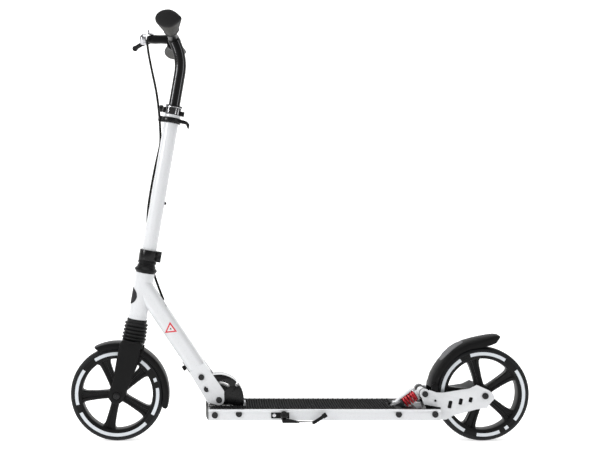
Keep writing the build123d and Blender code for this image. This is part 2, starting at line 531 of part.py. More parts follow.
def port_point(depth):
    point = port_path.from_local_coords(Vector(0, 0, depth))
    return (point.X, point.Y, point.Z)


ROUTE = [(bar_x - 58.0, 64.2, mount_z - 1.0), (-337.8, 53.0, 890.0), (-335.5, 45.0, 862.0),
         (-326.0, 32.0, 816.0), (-315.0, 18.5, 768.0), (-309.4, 13.6, 728.0), (-306.6, 13.4, 694.0),
         (-305.0, 12.6, 655.0),
         axis_point(-16.6, 12.8, 545.0), axis_point(-18.8, 8.8, 505.0), axis_point(-19.6, 6.2, 455.0),
         axis_point(-18.8, 9.0, 405.0), axis_point(-13.0, 17.5, 365.0), axis_point(-4.0, 24.6, 332.0),
         axis_point(6.0, 27.8, 303.0), axis_point(13.8, 26.4, 272.0), port_point(30.0), port_point(1.0)]
CUTS = (("cable_bar", 0, 8), ("cable_stem", 8, 15), ("cable_frame", 15, 18))


def middle(a, b):
    return tuple((p + q) / 2 for p, q in zip(a, b))


for name, first, last in CUTS:
    points = ROUTE[first:last]
    if first:
        points.insert(0, middle(ROUTE[first - 1], ROUTE[first]))
    if last < len(ROUTE):
        points.append(middle(ROUTE[last - 1], ROUTE[last]))
    runs = [Vector(*b) - Vector(*a) for a, b in zip(points, points[1:])]
    radii = []
    for before, after in zip(runs, runs[1:]):
        half_turn = radians(before.get_angle(after)) / 2
        radii.append(0.45 * min(before.length, after.length) * cos(half_turn) / sin(half_turn))
    add(name, pipe(points, radii, CABLE_R))

# ---------------------------------------------------------------- swing arm
cheek_points = ((262.0, 96.0), (266.5, 84.0), (302.8, 77.8), (303.0, 51.4), (314.0, 51.4), (330.0, 60.2),
                (380.0, 73.4), (402.0, 76.2), (411.5, 88.5), (419.0, 96.3), (416.5, 106.0), (407.5, 114.0),
                (381.0, 125.8), (364.5, 117.6), (307.0, 109.2), (294.0, 109.6), (279.0, 114.8))
arm_face = outline(*cheek_points) + Pos(*SHOCK_TOP) * Circle(11.0)
for x, z, tall, lean in ((322.7, 83.8, 17.0, 12.0), (345.8, 90.0, 14.0, 12.0), (367.4, 93.9, 11.5, 14.0)):
    arm_face -= Pos(x, z) * Rot(0, 0, -lean) * RectangleRounded(CHEEK_SLOT, tall, 2.6)
for centre, r in ((SHOCK_TOP, AXLE_R), (BRAKE_PIVOT, BRAKE_PIN_R), ((AXLE_X, WHEEL_R), AXLE_R)):
    arm_face -= Pos(*centre) * Circle(r)
cheek_left = slab(arm_face, -CHEEK_OUT, -CHEEK_IN)
cheek_right = slab(arm_face, CHEEK_IN, CHEEK_OUT)
cheek_right -= rod(AXLE_X, WHEEL_R, NUT_POCKET_R, CHEEK_OUT - 2.0, CHEEK_OUT + 5)
add("arm_cheek_left", cheek_left)
add("arm_cheek_right", cheek_right)
yoke_face = link(ARM_PIVOT, SHOCK_TOP, 9.0, 9.0)
yoke = slab(yoke_face, -CHEEK_IN, CHEEK_IN)
for low in (-CHEEK_IN, CHEEK_IN - 4.0):
    yoke += slab(outline((276, 70), (314, 56.5), (318, 62), (318, 70), (288, 78)), low, low + 4.0)
yoke -= block((240.0, -13.2, 82.0), (278.0, 13.2, 130.0))
yoke -= rod(*ARM_PIVOT, AXLE_R + RUN, -30, 30)
yoke -= rod(*SHOCK_TOP, AXLE_R, -30, 30)
add("arm_yoke", yoke)
shock_bolt = rod(*SHOCK_TOP, AXLE_R, -CHEEK_OUT - 0.4, CHEEK_OUT + 0.4)
for low in (-CHEEK_OUT - 2.8, CHEEK_OUT):
    shock_bolt += rod(*SHOCK_TOP, FRAME_HEAD_R, low, low + 2.8)
shock_bolt -= slab(Pos(*SHOCK_TOP) * RegularPolygon(2.4, 6), -CHEEK_OUT - 4, -CHEEK_OUT - 1.4)
brake_pin = rod(*BRAKE_PIVOT, BRAKE_PIN_R, -CHEEK_OUT - 0.8, CHEEK_OUT + 0.8)
add("arm_bolts", shock_bolt, brake_pin)

# Shock: lower eye, rod and seat on the deck; upper eye, guide and seat on the swing arm.
run = Vector(SHOCK_TOP[0] - SHOCK_LOW[0], 0, SHOCK_TOP[1] - SHOCK_LOW[1])
SHOCK = Plane(origin=(SHOCK_LOW[0], 0, SHOCK_LOW[1]), x_dir=(0, 1, 0), z_dir=run)
span = run.length
seat_low, seat_high = 24.0, span - 15.0
lower = rod(*SHOCK_LOW, 8.5, -12.0, 12.0)
lower += SHOCK * Pos(0, 0, (seat_low + 6) / 2) * Box(18.0, 12.0, seat_low - 6)
lower += SHOCK * Pos(0, 0, seat_low - 1.5) * Cylinder(SEAT_R, 3.0)
lower += SHOCK * Pos(0, 0, seat_low + 9.0) * Cylinder(4.0, 26.0)
lower -= block((190.0, -30, 40.0), (222.0, 30, floor_top + 0.2))
lower -= rod(*SHOCK_LOW, AXLE_R, -20, 20)
add("shock_rod", lower)
upper = rod(*SHOCK_TOP, 8.0, -12.8, 12.8) + SHOCK * Pos(0, 0, seat_high + 4.0) * Cylinder(8.0, 10.0)
upper += SHOCK * Pos(0, 0, seat_high + 1.5) * Cylinder(SEAT_R, 3.0)
upper -= SHOCK * Pos(0, 0, seat_high + 3.0) * Cylinder(5.0, 8.0)
upper -= rod(*SHOCK_TOP, AXLE_R + RUN, -20, 20)
add("shock_head", upper)
pitch = (seat_high - seat_low - 4.0) / SHOCK_TURNS
add("rear_spring", coil(SHOCK_COIL, SHOCK_WIRE, pitch, SHOCK_TURNS, SHOCK * Pos(0, 0, seat_low + 2.0)))
strap_line = ((205.0, 84.0), (211.0, 84.2), (219.0, 92.6), (246.0, 113.0), (250.5, 114.0))
strap_face = outline(*strap_line, *[(x + 1.2, z - 2.4) for x, z in reversed(strap_line)])
strap = slab(strap_face, -7.0, 7.0)
strap += block((204.5, -7.0, 76.0), (213.0, 7.0, 83.0))
add("shock_strap", strap - lower - rod(*SHOCK_LOW, 8.5, -20, 20))

# ---------------------------------------------------------------- foot brake
centre_r = (AXLE_X, WHEEL_R)
brake = slab(sector(centre_r, BRAKE_IN, BRAKE_OUT, 100.0, 172.0), -BRAKE_HALF, BRAKE_HALF)
for low in (-BRAKE_HALF, BRAKE_HALF - 2.5):
    brake += slab(sector(centre_r, 106.0, BRAKE_OUT, 100.0, 173.0), low, low + 2.5)
tail_points = (polar(centre_r, BRAKE_IN, 100.5), polar(centre_r, BRAKE_OUT, 100.5), (395.0, 225.6),
               (418.0, 229.6), (433.0, 230.6), (438.6, 226.5), (434.0, 222.0), (414.0, 216.5))
brake += slab(outline(*tail_points), -BRAKE_HALF, BRAKE_HALF)
for low in (-BRAKE_HALF - 3.5, BRAKE_HALF):
    ear = link(BRAKE_PIVOT, (289.0, 118.0), 5.0, 7.0)
    brake += slab(ear, low, low + 3.5)
for low in (-BRAKE_HALF - 0.5, BRAKE_HALF - 2.0):
    brake += slab(outline((284.5, 112.0), (291.5, 112.0), (294.5, 122.0), (287.0, 124.0)), low, low + 2.5)
brake -= rod(*BRAKE_PIVOT, BRAKE_PIN_R + RUN, -30, 30)
add("foot_brake", brake)
pad = slab(sector(centre_r, BRAKE_OUT, BRAKE_OUT + 2.4, 104.0, 132.0), -15.0, 15.0)
add("foot_pad", pad)

# ---------------------------------------------------------------- side stand
stand_y = -DECK_HALF
bracket = block((-66.0, stand_y - 3.0, 60.5), (-27.5, stand_y, LIP_LOW - 0.2))
bracket += rod(*STAND_AT, 8.0, stand_y - 6.0, stand_y)
bracket -= block((-50.0, stand_y - 9.0, LIP_LOW - 0.2), (-25.0, stand_y, 90.0))
splay = radians(STAND_SPLAY)
STAND = Plane(origin=(STAND_AT[0], stand_y - 6.0, STAND_AT[1]), x_dir=(1, 0, 0),
              z_dir=(0, -cos(splay), sin(splay)))
bracket -= STAND * Pos(0, 0, 10.0) * Box(60, 60, 20.0)
bracket += STAND * Pos(0, 0, 4.0) * Cylinder(3.5, 8.2)
bracket -= rod(-59.6, 67.6, 2.4, stand_y - 9.0, stand_y + 1)
add("stand_bracket", bracket)
hub = STAND * Pos(0, 0, 4.2) * Cylinder(7.8, 7.4)
leg_y = stand_y - 12.5
route = [(-37.0, leg_y, 54.5), (24.0, leg_y, 53.8), (43.0, leg_y, 66.5)]
knee = outline((-45.0, 60.0), (-41.5, 50.0), (-36.0, 46.8), (-8.0, 50.0), (-8.0, 57.4), (-30.0, 62.0))
leg = pipe(route, [14.0], STAND_LEG_R) + slab(knee, leg_y - 4.5, leg_y + 4.5) + hub
leg -= STAND * Cylinder(3.5 + RUN, 40)
leg -= STAND * Pos(0, 0, -19.7) * Box(120, 120, 40.0)
add("stand_leg", leg)
tip_dir = Vector(43.0 - 24.0, 0, 66.5 - 53.8).normalized()
tip_plane = Plane(origin=(43.0, leg_y, 66.5), z_dir=tip_dir)
add("stand_foot", tip_plane * Pos(0, 0, 4.5) * Cylinder(5.0, 9.0))

# ---------------------------------------------------------------- write every node
for name, solids in NODES.items():
    parts = []
    for solid in solids:
        parts += solid.solids() if not isinstance(solid, Solid) else [solid]
    shape = parts[0] if len(parts) == 1 else Compound(children=parts)
    export_step(shape, "parts/" + name + ".step")
print(len(NODES), "nodes")
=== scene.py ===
"""Child's folding kick scooter, laid out as an add-on and run as a script."""
import json
import math
import bmesh
import bpy
from bpy.props import FloatProperty, FloatVectorProperty, IntProperty, PointerProperty
from mathutils import Matrix, Vector

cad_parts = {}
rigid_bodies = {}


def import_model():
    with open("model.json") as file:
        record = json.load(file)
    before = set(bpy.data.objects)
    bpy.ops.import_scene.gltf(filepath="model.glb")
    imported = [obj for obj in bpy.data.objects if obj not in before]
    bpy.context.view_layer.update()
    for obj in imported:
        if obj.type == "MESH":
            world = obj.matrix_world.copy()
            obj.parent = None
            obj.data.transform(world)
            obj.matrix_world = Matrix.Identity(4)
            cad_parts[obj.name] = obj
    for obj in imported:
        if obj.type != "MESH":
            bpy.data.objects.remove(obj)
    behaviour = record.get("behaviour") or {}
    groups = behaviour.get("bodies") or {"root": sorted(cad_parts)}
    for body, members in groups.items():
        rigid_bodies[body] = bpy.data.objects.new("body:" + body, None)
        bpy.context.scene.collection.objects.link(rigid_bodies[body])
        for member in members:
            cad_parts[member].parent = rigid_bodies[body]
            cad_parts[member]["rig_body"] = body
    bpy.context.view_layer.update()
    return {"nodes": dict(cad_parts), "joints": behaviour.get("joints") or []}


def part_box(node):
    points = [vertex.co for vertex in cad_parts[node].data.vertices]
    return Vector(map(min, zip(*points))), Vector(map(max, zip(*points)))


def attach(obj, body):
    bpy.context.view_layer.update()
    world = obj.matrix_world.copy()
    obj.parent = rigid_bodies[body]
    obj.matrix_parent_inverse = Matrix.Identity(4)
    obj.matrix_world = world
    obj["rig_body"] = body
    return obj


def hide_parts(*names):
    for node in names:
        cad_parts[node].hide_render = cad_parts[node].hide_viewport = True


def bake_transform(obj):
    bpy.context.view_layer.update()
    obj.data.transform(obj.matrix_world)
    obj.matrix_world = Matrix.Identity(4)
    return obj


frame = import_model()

bl_info = {
    "name": "Kick scooter",
    "version": (1, 0, 0),
    "blender": (4, 5, 0),
    "location": "3D View > Sidebar > Scooter",
    "description": "Builds the visible pieces of a child's folding kick scooter",
    "category": "Object",
}

JOINTS = {joint["name"]: joint for joint in frame["joints"]}


# ---------------------------------------------------------------- places, in millimetres
def joint_point(name):
    return Vector(JOINTS[name]["pos_m"]) * 1000


def middle_of(node):
    low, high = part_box(node)
    return (low + high) * 500


FRONT_HUB = joint_point("front_wheel_spin")
REAR_HUB = joint_point("rear_wheel_spin")
UP = Vector(JOINTS["steering_turn"]["axis"]).normalized()
FOOT = joint_point("steering_turn")
BACK = Vector((UP.z, 0, -UP.x))
SIDE = Vector((0, 1, 0))
BAR = middle_of("crossbar")
BRAKE_PIVOT = joint_point("foot_brake_press")
SHOCK_TOP = joint_point("shock_eye")
FOLD = joint_point("fold")


def steer(x, y, t):
    """A point in the steering frame: x rearward, y to the right, t up the steering axis."""
    return FOOT + BACK * x + SIDE * y + UP * t


def steer_matrix(t=0.0):
    rows = Matrix((BACK, SIDE, UP)).transposed().to_4x4()
    rows.translation = FOOT + UP * t
    return rows


def hub_matrix(centre, tilt=0.0):
    """Local z along the wheel's axle, local x at an angle up from the rear."""
    turned = Matrix.Rotation(math.radians(90), 4, "X") @ Matrix.Rotation(math.radians(tilt), 4, "Z")
    return Matrix.Translation(centre) @ turned


def station(origin, tangent, side, wide=1.0, deep=1.0):
    """A place on a sweep: local z along the tangent, local x along the side."""
    along = Vector(tangent).normalized()
    across = Vector(side)
    across = (across - along * across.dot(along)).normalized()
    turned = Matrix((across, along.cross(across), along)).transposed().to_4x4()
    turned.translation = Vector(origin)
    return turned @ Matrix.Diagonal((wide, deep, 1, 1))


def path_stations(points, side, widths=None, depths=None):
    """Stations at every point of a path, each square to the path there."""
    points = [Vector(p) for p in points]
    count = len(points)
    widths = widths or [1.0] * count
    depths = depths or widths
    placed = []
    for i, point in enumerate(points):
        before, after = points[max(i - 1, 0)], points[min(i + 1, count - 1)]
        placed.append(station(point, after - before, side, widths[i], depths[i]))
    return placed


def smooth_path(points, count=40, order=3):
    """Points read from a smooth NURBS line through a piece's route, in millimetres."""
    curve = bpy.data.curves.new("route", "CURVE")
    curve.dimensions = "3D"
    curve.resolution_u = max(2, count // max(1, len(points) - 2))
    spline = curve.splines.new("NURBS")
    spline.points.add(len(points) - 1)
    for target, point in zip(spline.points, points):
        target.co = (*point, 1.0)
    spline.order_u = order
    spline.use_endpoint_u = True
    carrier = bpy.data.objects.new("route", curve)
    line = bpy.data.meshes.new_from_object(carrier)
    found = [v.co.copy() for v in line.vertices]
    bpy.data.objects.remove(carrier)
    bpy.data.curves.remove(curve)
    bpy.data.meshes.remove(line)
    return found


# ---------------------------------------------------------------- shapes
def ends_closed(bm):
    """Fill every open outline with a face."""
    open_edges = [e for e in bm.edges if e.is_boundary]
    if open_edges:
        bmesh.ops.edgeloop_fill(bm, edges=open_edges)


def outline_edges(bm, points, closed=True):
    verts = [bm.verts.new(p) for p in points]
    edges = [bm.edges.new(pair) for pair in zip(verts, verts[1:])]
    if closed:
        edges.append(bm.edges.new((verts[-1], verts[0])))
    return verts, edges


def swept(bm, profile, stations, closed=True, capped=True):
    """Draw a flat profile at the first station and extrude it through the others."""
    verts, edges = outline_edges(bm, [stations[0] @ Vector((x, y, 0)) for x, y in profile], closed)
    ends = list(edges)
    for before, after in zip(stations, stations[1:]):
        grown = bmesh.ops.extrude_edge_only(bm, edges=edges)["geom"]
        verts = [g for g in grown if isinstance(g, bmesh.types.BMVert)]
        fresh = set(verts)
        edges = [g for g in grown if isinstance(g, bmesh.types.BMEdge) and fresh.issuperset(g.verts)]
        bmesh.ops.transform(bm, matrix=after @ before.inverted(), verts=verts)
    if closed and capped:
        bmesh.ops.edgeloop_fill(bm, edges=ends)
        bmesh.ops.edgeloop_fill(bm, edges=edges)
    return bm


def turned(bm, profile, place, start=0.0, end=360.0, steps=72, closed=True):
    """Spin a (radius, height) profile about a place's local z."""
    begin = Matrix.Rotation(math.radians(start), 4, "Z")
    verts, edges = outline_edges(bm, [place @ begin @ Vector((r, 0, z)) for r, z in profile], closed)
    whole = abs(end - start) >= 360
    axis = (place.to_3x3() @ Vector((0, 0, 1))).normalized()
    bmesh.ops.spin(bm, geom=verts + edges, cent=place.translation, axis=axis, angle=math.radians(end - start),
                   steps=steps, use_merge=whole)
    if closed and not whole:
        ends_closed(bm)
    return bm


def ellipse(wide, deep, count=24, power=1.0):
    """Points round an oval, squarer where power is below one."""
    points = []
    for i in range(count):
        a = 2 * math.pi * i / count
        c, s = math.cos(a), math.sin(a)
        points.append((wide * math.copysign(abs(c) ** power, c), deep * math.copysign(abs(s) ** power, s)))
    return points


def plate(bm, points, low, high, edge=0.4, segments=2):
    """A flat piece drawn in X and Z, from Y = low to Y = high, with eased edges."""
    verts = [bm.verts.new((x, low, z)) for x, z in points]
    face = bm.faces.new(verts)
    grown = bmesh.ops.extrude_face_region(bm, geom=[face])["geom"]
    moved = [g for g in grown if isinstance(g, bmesh.types.BMVert)]
    bmesh.ops.translate(bm, vec=(0, high - low, 0), verts=moved)
    whole = set(verts) | set(moved)
    edges = [e for e in bm.edges if whole.issuperset(e.verts)]
    if edge:
        bmesh.ops.bevel(bm, geom=edges, offset=edge, offset_type="OFFSET", affect="EDGES",
                        segments=segments, profile=0.5, material=-1, clamp_overlap=True)
    return bm


def rounded_box(bm, place, size, edge, segments=3):
    """A box with eased edges at a place."""
    made = bmesh.ops.create_cube(bm, size=1.0, matrix=place @ Matrix.Diagonal((*size, 1)))["verts"]
    edges = list({e for v in made for e in v.link_edges})
    bmesh.ops.bevel(bm, geom=edges, offset=edge, offset_type="OFFSET", affect="EDGES",
                    segments=segments, profile=0.5, material=-1, clamp_overlap=True)
    return bm


def tube(bm, points, radii, sides=16, side=(0, 1, 0)):
    """A round bar along a path, closed at both ends."""
    if not hasattr(radii, "__len__"):
        radii = [radii] * len(points)
    return swept(bm, ellipse(1, 1, sides), path_stations(points, side, radii))


def button_head(bm, centre, outward, r, height, flat=None):
    """A domed bolt head with a six-sided socket."""
    up = Vector(outward).normalized()
    side = Vector((1, 0, 0)) if abs(up.x) < 0.9 else Vector((0, 0, 1))
    place = station(centre, up, side)
    socket = 0.42 * r
    profile = [(r, 0), (r, height * 0.45), (r * 0.93, height * 0.78), (r * 0.75, height * 0.96),
               (socket + 0.3, height), (socket, height * 0.92), (socket * 0.96, height * 0.3),
               (0.02, height * 0.26)]
    turned(bm, profile, place, steps=24, closed=False)
    return bm


def piece(name, bm, body, finishes, replaces=(), crease=32.0):
    """Turn millimetres into metres, close up the mesh and put it on its body."""
    bmesh.ops.remove_doubles(bm, verts=bm.verts, dist=0.002)
    bmesh.ops.scale(bm, vec=(0.001, 0.001, 0.001), verts=bm.verts)
    bmesh.ops.recalc_face_normals(bm, faces=bm.faces)
    mesh = bpy.data.meshes.new(name)
    bm.to_mesh(mesh)
    bm.free()
    mesh.shade_smooth()
    mesh.set_sharp_from_angle(angle=math.radians(crease))
    made = bpy.data.objects.new(name, mesh)
    bpy.context.scene.collection.objects.link(made)
    for finish in finishes:
        mesh.materials.append(finish)
    if body:
        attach(made, body)
    if replaces:
        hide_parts(*replaces)
    return made


def softened(node, finish, width=0.5, angle=30.0, segments=2):
    """A copy of a CAD node with its edges eased, standing for it."""
    source = frame["nodes"][node]
    bm = bmesh.new()
    bm.from_mesh(source.data)
    bmesh.ops.scale(bm, vec=(1000, 1000, 1000), verts=bm.verts)
    bmesh.ops.remove_doubles(bm, verts=bm.verts, dist=0.002)
    bmesh.ops.dissolve_limit(bm, angle_limit=math.radians(1.0), verts=bm.verts, edges=bm.edges)
    edges = [e for e in bm.edges if e.is_manifold and e.calc_face_angle(0) > math.radians(angle)]
    bmesh.ops.bevel(bm, geom=edges, offset=width, offset_type="OFFSET", affect="EDGES",
                    segments=segments, profile=0.5, material=-1, clamp_overlap=True)
    return piece(node + "_eased", bm, source["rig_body"], [finish], [node])


# ---------------------------------------------------------------- finishes
def noise(nodes, links, coord, scale, detail=3.0, stretch=None):
    texture = nodes.new("ShaderNodeTexNoise")
    texture.inputs["Scale"].default_value = scale
    texture.inputs["Detail"].default_value = detail
    if stretch:
        mapping = nodes.new("ShaderNodeMapping")
        mapping.inputs["Scale"].default_value = stretch
        links.new(coord.outputs["Object"], mapping.inputs["Vector"])
        links.new(mapping.outputs["Vector"], texture.inputs["Vector"])
    else:
        links.new(coord.outputs["Object"], texture.inputs["Vector"])
    return texture


def ranged(nodes, links, source, low, high):
    out = nodes.new("ShaderNodeMapRange")
    out.inputs["From Min"].default_value = 0.3
    out.inputs["From Max"].default_value = 0.7
    out.inputs["To Min"].default_value = low
    out.inputs["To Max"].default_value = high
    links.new(source, out.inputs["Value"])
    return out.outputs["Result"]


def make_finish(name, colour, rough, metal=0.0, mottle=0.06, grain=900.0, depth=0.12, coat=0.0,
                specular=0.5, stretch=None, dots=0.0, dot_depth=0.0, dot_stretch=None):
    """A surface whose colour, gloss and relief vary a little, as the real one does."""
    made = bpy.data.materials.new(name)
    made.use_nodes = True
    nodes, links = made.node_tree.nodes, made.node_tree.links
    shader = nodes["Principled BSDF"]
    coord = nodes.new("ShaderNodeTexCoord")
    broad = noise(nodes, links, coord, 9.0)
    fine = noise(nodes, links, coord, grain, 2.0, stretch)
    tone = nodes.new("ShaderNodeMix")
    tone.data_type = "RGBA"
    tone.inputs["A"].default_value = (*[c * (1 - mottle) for c in colour], 1)
    tone.inputs["B"].default_value = (*[min(1.0, c * (1 + mottle)) for c in colour], 1)
    links.new(ranged(nodes, links, broad.outputs["Fac"], 0.0, 1.0), tone.inputs["Factor"])
    links.new(tone.outputs["Result"], shader.inputs["Base Color"])
    gloss = ranged(nodes, links, fine.outputs["Fac"], rough - 0.05, rough + 0.06)
    links.new(gloss, shader.inputs["Roughness"])
    shader.inputs["Metallic"].default_value = metal
    shader.inputs["Specular IOR Level"].default_value = specular
    if coat:
        shader.inputs["Coat Weight"].default_value = coat
        shader.inputs["Coat Roughness"].default_value = 0.08
    relief = nodes.new("ShaderNodeBump")
    relief.inputs["Strength"].default_value = depth
    relief.inputs["Distance"].default_value = 0.0003
    links.new(fine.outputs["Fac"], relief.inputs["Height"])
    if dots:
        cells = nodes.new("ShaderNodeTexVoronoi")
        cells.inputs["Scale"].default_value = dots
        cells.inputs["Randomness"].default_value = 0.12
        mapping = nodes.new("ShaderNodeMapping")
        mapping.inputs["Scale"].default_value = dot_stretch or (1, 1, 1)
        links.new(coord.outputs["Object"], mapping.inputs["Vector"])
        links.new(mapping.outputs["Vector"], cells.inputs["Vector"])
        pips = nodes.new("ShaderNodeBump")
        pips.invert = True
        pips.inputs["Strength"].default_value = dot_depth
        pips.inputs["Distance"].default_value = 0.0006
        links.new(cells.outputs["Distance"], pips.inputs["Height"])
        links.new(relief.outputs["Normal"], pips.inputs["Normal"])
        links.new(pips.outputs["Normal"], shader.inputs["Normal"])
    else:
        links.new(relief.outputs["Normal"], shader.inputs["Normal"])
    return made


FINISHES = {}


def finish(name):
    """The finish of that name, made the first time it is asked for."""
    if name in FINISHES:
        return FINISHES[name]
    colours = bpy.context.scene.scooter_colours
    paint, black, rubber = colours.paint, colours.black, colours.rubber
    recipes = {
        "white paint": dict(colour=paint, rough=0.3, mottle=0.012, grain=420, depth=0.03, coat=0.35),
        "black paint": dict(colour=black, rough=0.38, mottle=0.1, grain=1100, depth=0.1, specular=0.16),
        "black gloss": dict(colour=black, rough=0.26, mottle=0.08, grain=700, depth=0.05, specular=0.25),
        "lever lacquer": dict(colour=black, rough=0.6, mottle=0.1, grain=1100, depth=0.1, specular=0.02),
        "black plastic": dict(colour=black, rough=0.46, mottle=0.1, grain=1500, depth=0.2, specular=0.14),
        "tyre": dict(colour=colours.tyre, rough=0.48, mottle=0.1, grain=1300, depth=0.2, specular=0.2),
        "rim plastic": dict(colour=black, rough=0.38, mottle=0.1, grain=1300, depth=0.18, specular=0.16),
        "wheel band": dict(colour=colours.band, rough=0.32, metal=0.25, mottle=0.04, grain=1800, depth=0.05),
        "soft rubber": dict(colour=rubber, rough=0.6, mottle=0.12, grain=1700, depth=0.3, specular=0.16),
        "grip rubber": dict(colour=rubber, rough=0.6, mottle=0.1, grain=1500, depth=0.2, dots=420,
                            dot_depth=0.35, specular=0.25),
        # Painted light: a lighter grey for the grips' undersides.
        "grip painted underlight": dict(colour=colours.painted_underlight, rough=0.62, mottle=0.1, grain=1500, depth=0.2, dots=520,
                          dot_depth=0.3, specular=0.12),
        "bellows rubber": dict(colour=rubber, rough=0.45, mottle=0.14, grain=1200, depth=0.1, specular=0.2),
        "grey pad": dict(colour=colours.pad, rough=0.66, mottle=0.08, grain=1500, depth=0.25, dots=330,
                         dot_depth=0.5),
        "black oxide": dict(colour=(0.014, 0.014, 0.015), rough=0.34, metal=0.5, mottle=0.12, grain=1500,
                            depth=0.06),
        "bright steel": dict(colour=(0.62, 0.62, 0.64), rough=0.26, metal=1.0, mottle=0.06, grain=300,
                             depth=0.06, stretch=(1, 8, 1)),
        "pale alloy": dict(colour=(0.71, 0.72, 0.73), rough=0.42, metal=0.35, mottle=0.06, grain=900, depth=0.18),
        "dark steel": dict(colour=(0.09, 0.09, 0.095), rough=0.36, metal=0.9, mottle=0.1, grain=900, depth=0.08),
        "chrome": dict(colour=(0.5, 0.5, 0.52), rough=0.16, metal=1.0, mottle=0.03, grain=500, depth=0.01),
        # Painted highlight lines on the black post.
        "painted highlight line": dict(colour=(0.2, 0.2, 0.21), rough=0.34, metal=0.5, mottle=0.04, grain=1500, depth=0.03),
        "red enamel": dict(colour=colours.spring, rough=0.24, metal=0.35, mottle=0.08, grain=1200, depth=0.04,
                           coat=0.5),
        "sticker red": dict(colour=(0.6, 0.02, 0.04), rough=0.35, mottle=0.03, grain=1500, depth=0.02),
        "sticker white": dict(colour=(0.72, 0.7, 0.7), rough=0.35, mottle=0.02, grain=1500, depth=0.02),
        "badge": dict(colour=(0.03, 0.03, 0.032), rough=0.5, mottle=0.06, grain=1500, depth=0.03, specular=0.08),
        "floor": dict(colour=colours.floor, rough=0.85, mottle=0.006, grain=60, depth=0.0, specular=0.1),
    }
    FINISHES[name] = make_finish(name, **recipes[name])
    return FINISHES[name]


NODE_FINISH = {
    "white paint": ("deck_shell", "down_tube", "head_tube", "stem_tube", "arm_cheek_left", "arm_cheek_right"),
    "pale alloy": ("fold_quadrant", "shock_strap", "shock_head", "headset_cups"),
    "black paint": ("upper_tube", "crossbar", "fork", "headset_cover", "stem_clamp", "top_collar",
                    "quick_release_band", "stand_leg", "stand_bracket", "arm_yoke", "quadrant_covers"),
    "black plastic": ("front_mudguard", "foot_brake", "nose_cap", "tail_cover", "brake_mount", "latch_plate",
                      "latch_slider", "quick_release_lever", "collar_knob", "brake_lever"),
    "tyre": ("front_tyre", "rear_tyre"),
    "rim plastic": ("front_rim", "rear_rim"),
    "grip rubber": ("grip_left", "grip_right"),
    "bellows rubber": ("fork_boot",),
    "soft rubber": ("deck_grip", "stand_foot", "cable_bar", "cable_frame", "cable_stem"),
    "grey pad": ("foot_pad",),
    "black oxide": ("deck_bolts", "frame_bolts", "arm_bolts", "front_axle", "rear_axle", "stem_screws"),
    "bright steel": ("front_bearings", "rear_bearings", "headset_bearings"),
    "chrome": ("bell_dome", "bell_striker"),
    "dark steel": ("steerer_tube", "fork_slider", "shock_rod", "front_spring"),
    "red enamel": ("rear_spring",),
}


# ---------------------------------------------------------------- settings
class ScooterColours(bpy.types.PropertyGroup):
    paint: FloatVectorProperty(name="Frame paint", description="Gloss paint on the frame, stem and deck",
                               subtype="COLOR", min=0, max=1, default=(0.66, 0.67, 0.685))
    black: FloatVectorProperty(name="Black parts", description="Fork, handlebar and mudguards",
                               subtype="COLOR", min=0, max=1, default=(0.004, 0.004, 0.0042))
    rubber: FloatVectorProperty(name="Rubber", description="Mat, boot, grips and cable",
                                subtype="COLOR", min=0, max=1, default=(0.006, 0.006, 0.0063))
    # Lighter grey for the grips' undersides: painted light on the rubber, not a second rubber.
    painted_underlight: FloatVectorProperty(name="Grip underside", description="Softer rubber under the palms",
                              subtype="COLOR", min=0, max=1, default=(0.03, 0.029, 0.026))
    tyre: FloatVectorProperty(name="Tyre", description="Urethane of the tyres",
                              subtype="COLOR", min=0, max=1, default=(0.008, 0.0085, 0.0095))
    band: FloatVectorProperty(name="Wheel bands", description="Silver arcs on the rims",
                              subtype="COLOR", min=0, max=1, default=(0.6, 0.63, 0.66))
    pad: FloatVectorProperty(name="Brake pad", description="Textured pad on the foot brake",
                             subtype="COLOR", min=0, max=1, default=(0.11, 0.11, 0.116))
    spring: FloatVectorProperty(name="Spring", description="Enamel of the rear spring",
                                subtype="COLOR", min=0, max=1, default=(0.5, 0.012, 0.022))
    floor: FloatVectorProperty(name="Floor", description="Studio floor and backdrop",
                               subtype="COLOR", min=0, max=1, default=(0.9, 0.9, 0.9))


class ScooterSizes(bpy.types.PropertyGroup):
    spokes: IntProperty(name="Spokes", description="Spokes in each wheel", default=5, min=3, max=9)
    boot_ribs: IntProperty(name="Boot ribs", description="Folds in the fork boot", default=5, min=2, max=9)
    coil_turns: FloatProperty(name="Spring turns", description="Turns of the rear spring", default=4.6,
                              min=3, max=9)
    coil_wire: FloatProperty(name="Spring wire", description="Wire radius of the rear spring", unit="LENGTH",
                             default=0.0027, min=0.001, max=0.003, precision=4)
    stud_pitch: FloatProperty(name="Stud pitch", description="Distance between rows of studs on the mat",
                              unit="LENGTH", default=0.011, min=0.006, max=0.03, precision=4)
    edge: FloatProperty(name="Edge easing", description="Width of the eased edges on metal plates",
                        unit="LENGTH", default=0.0006, min=0.0, max=0.002, precision=4)


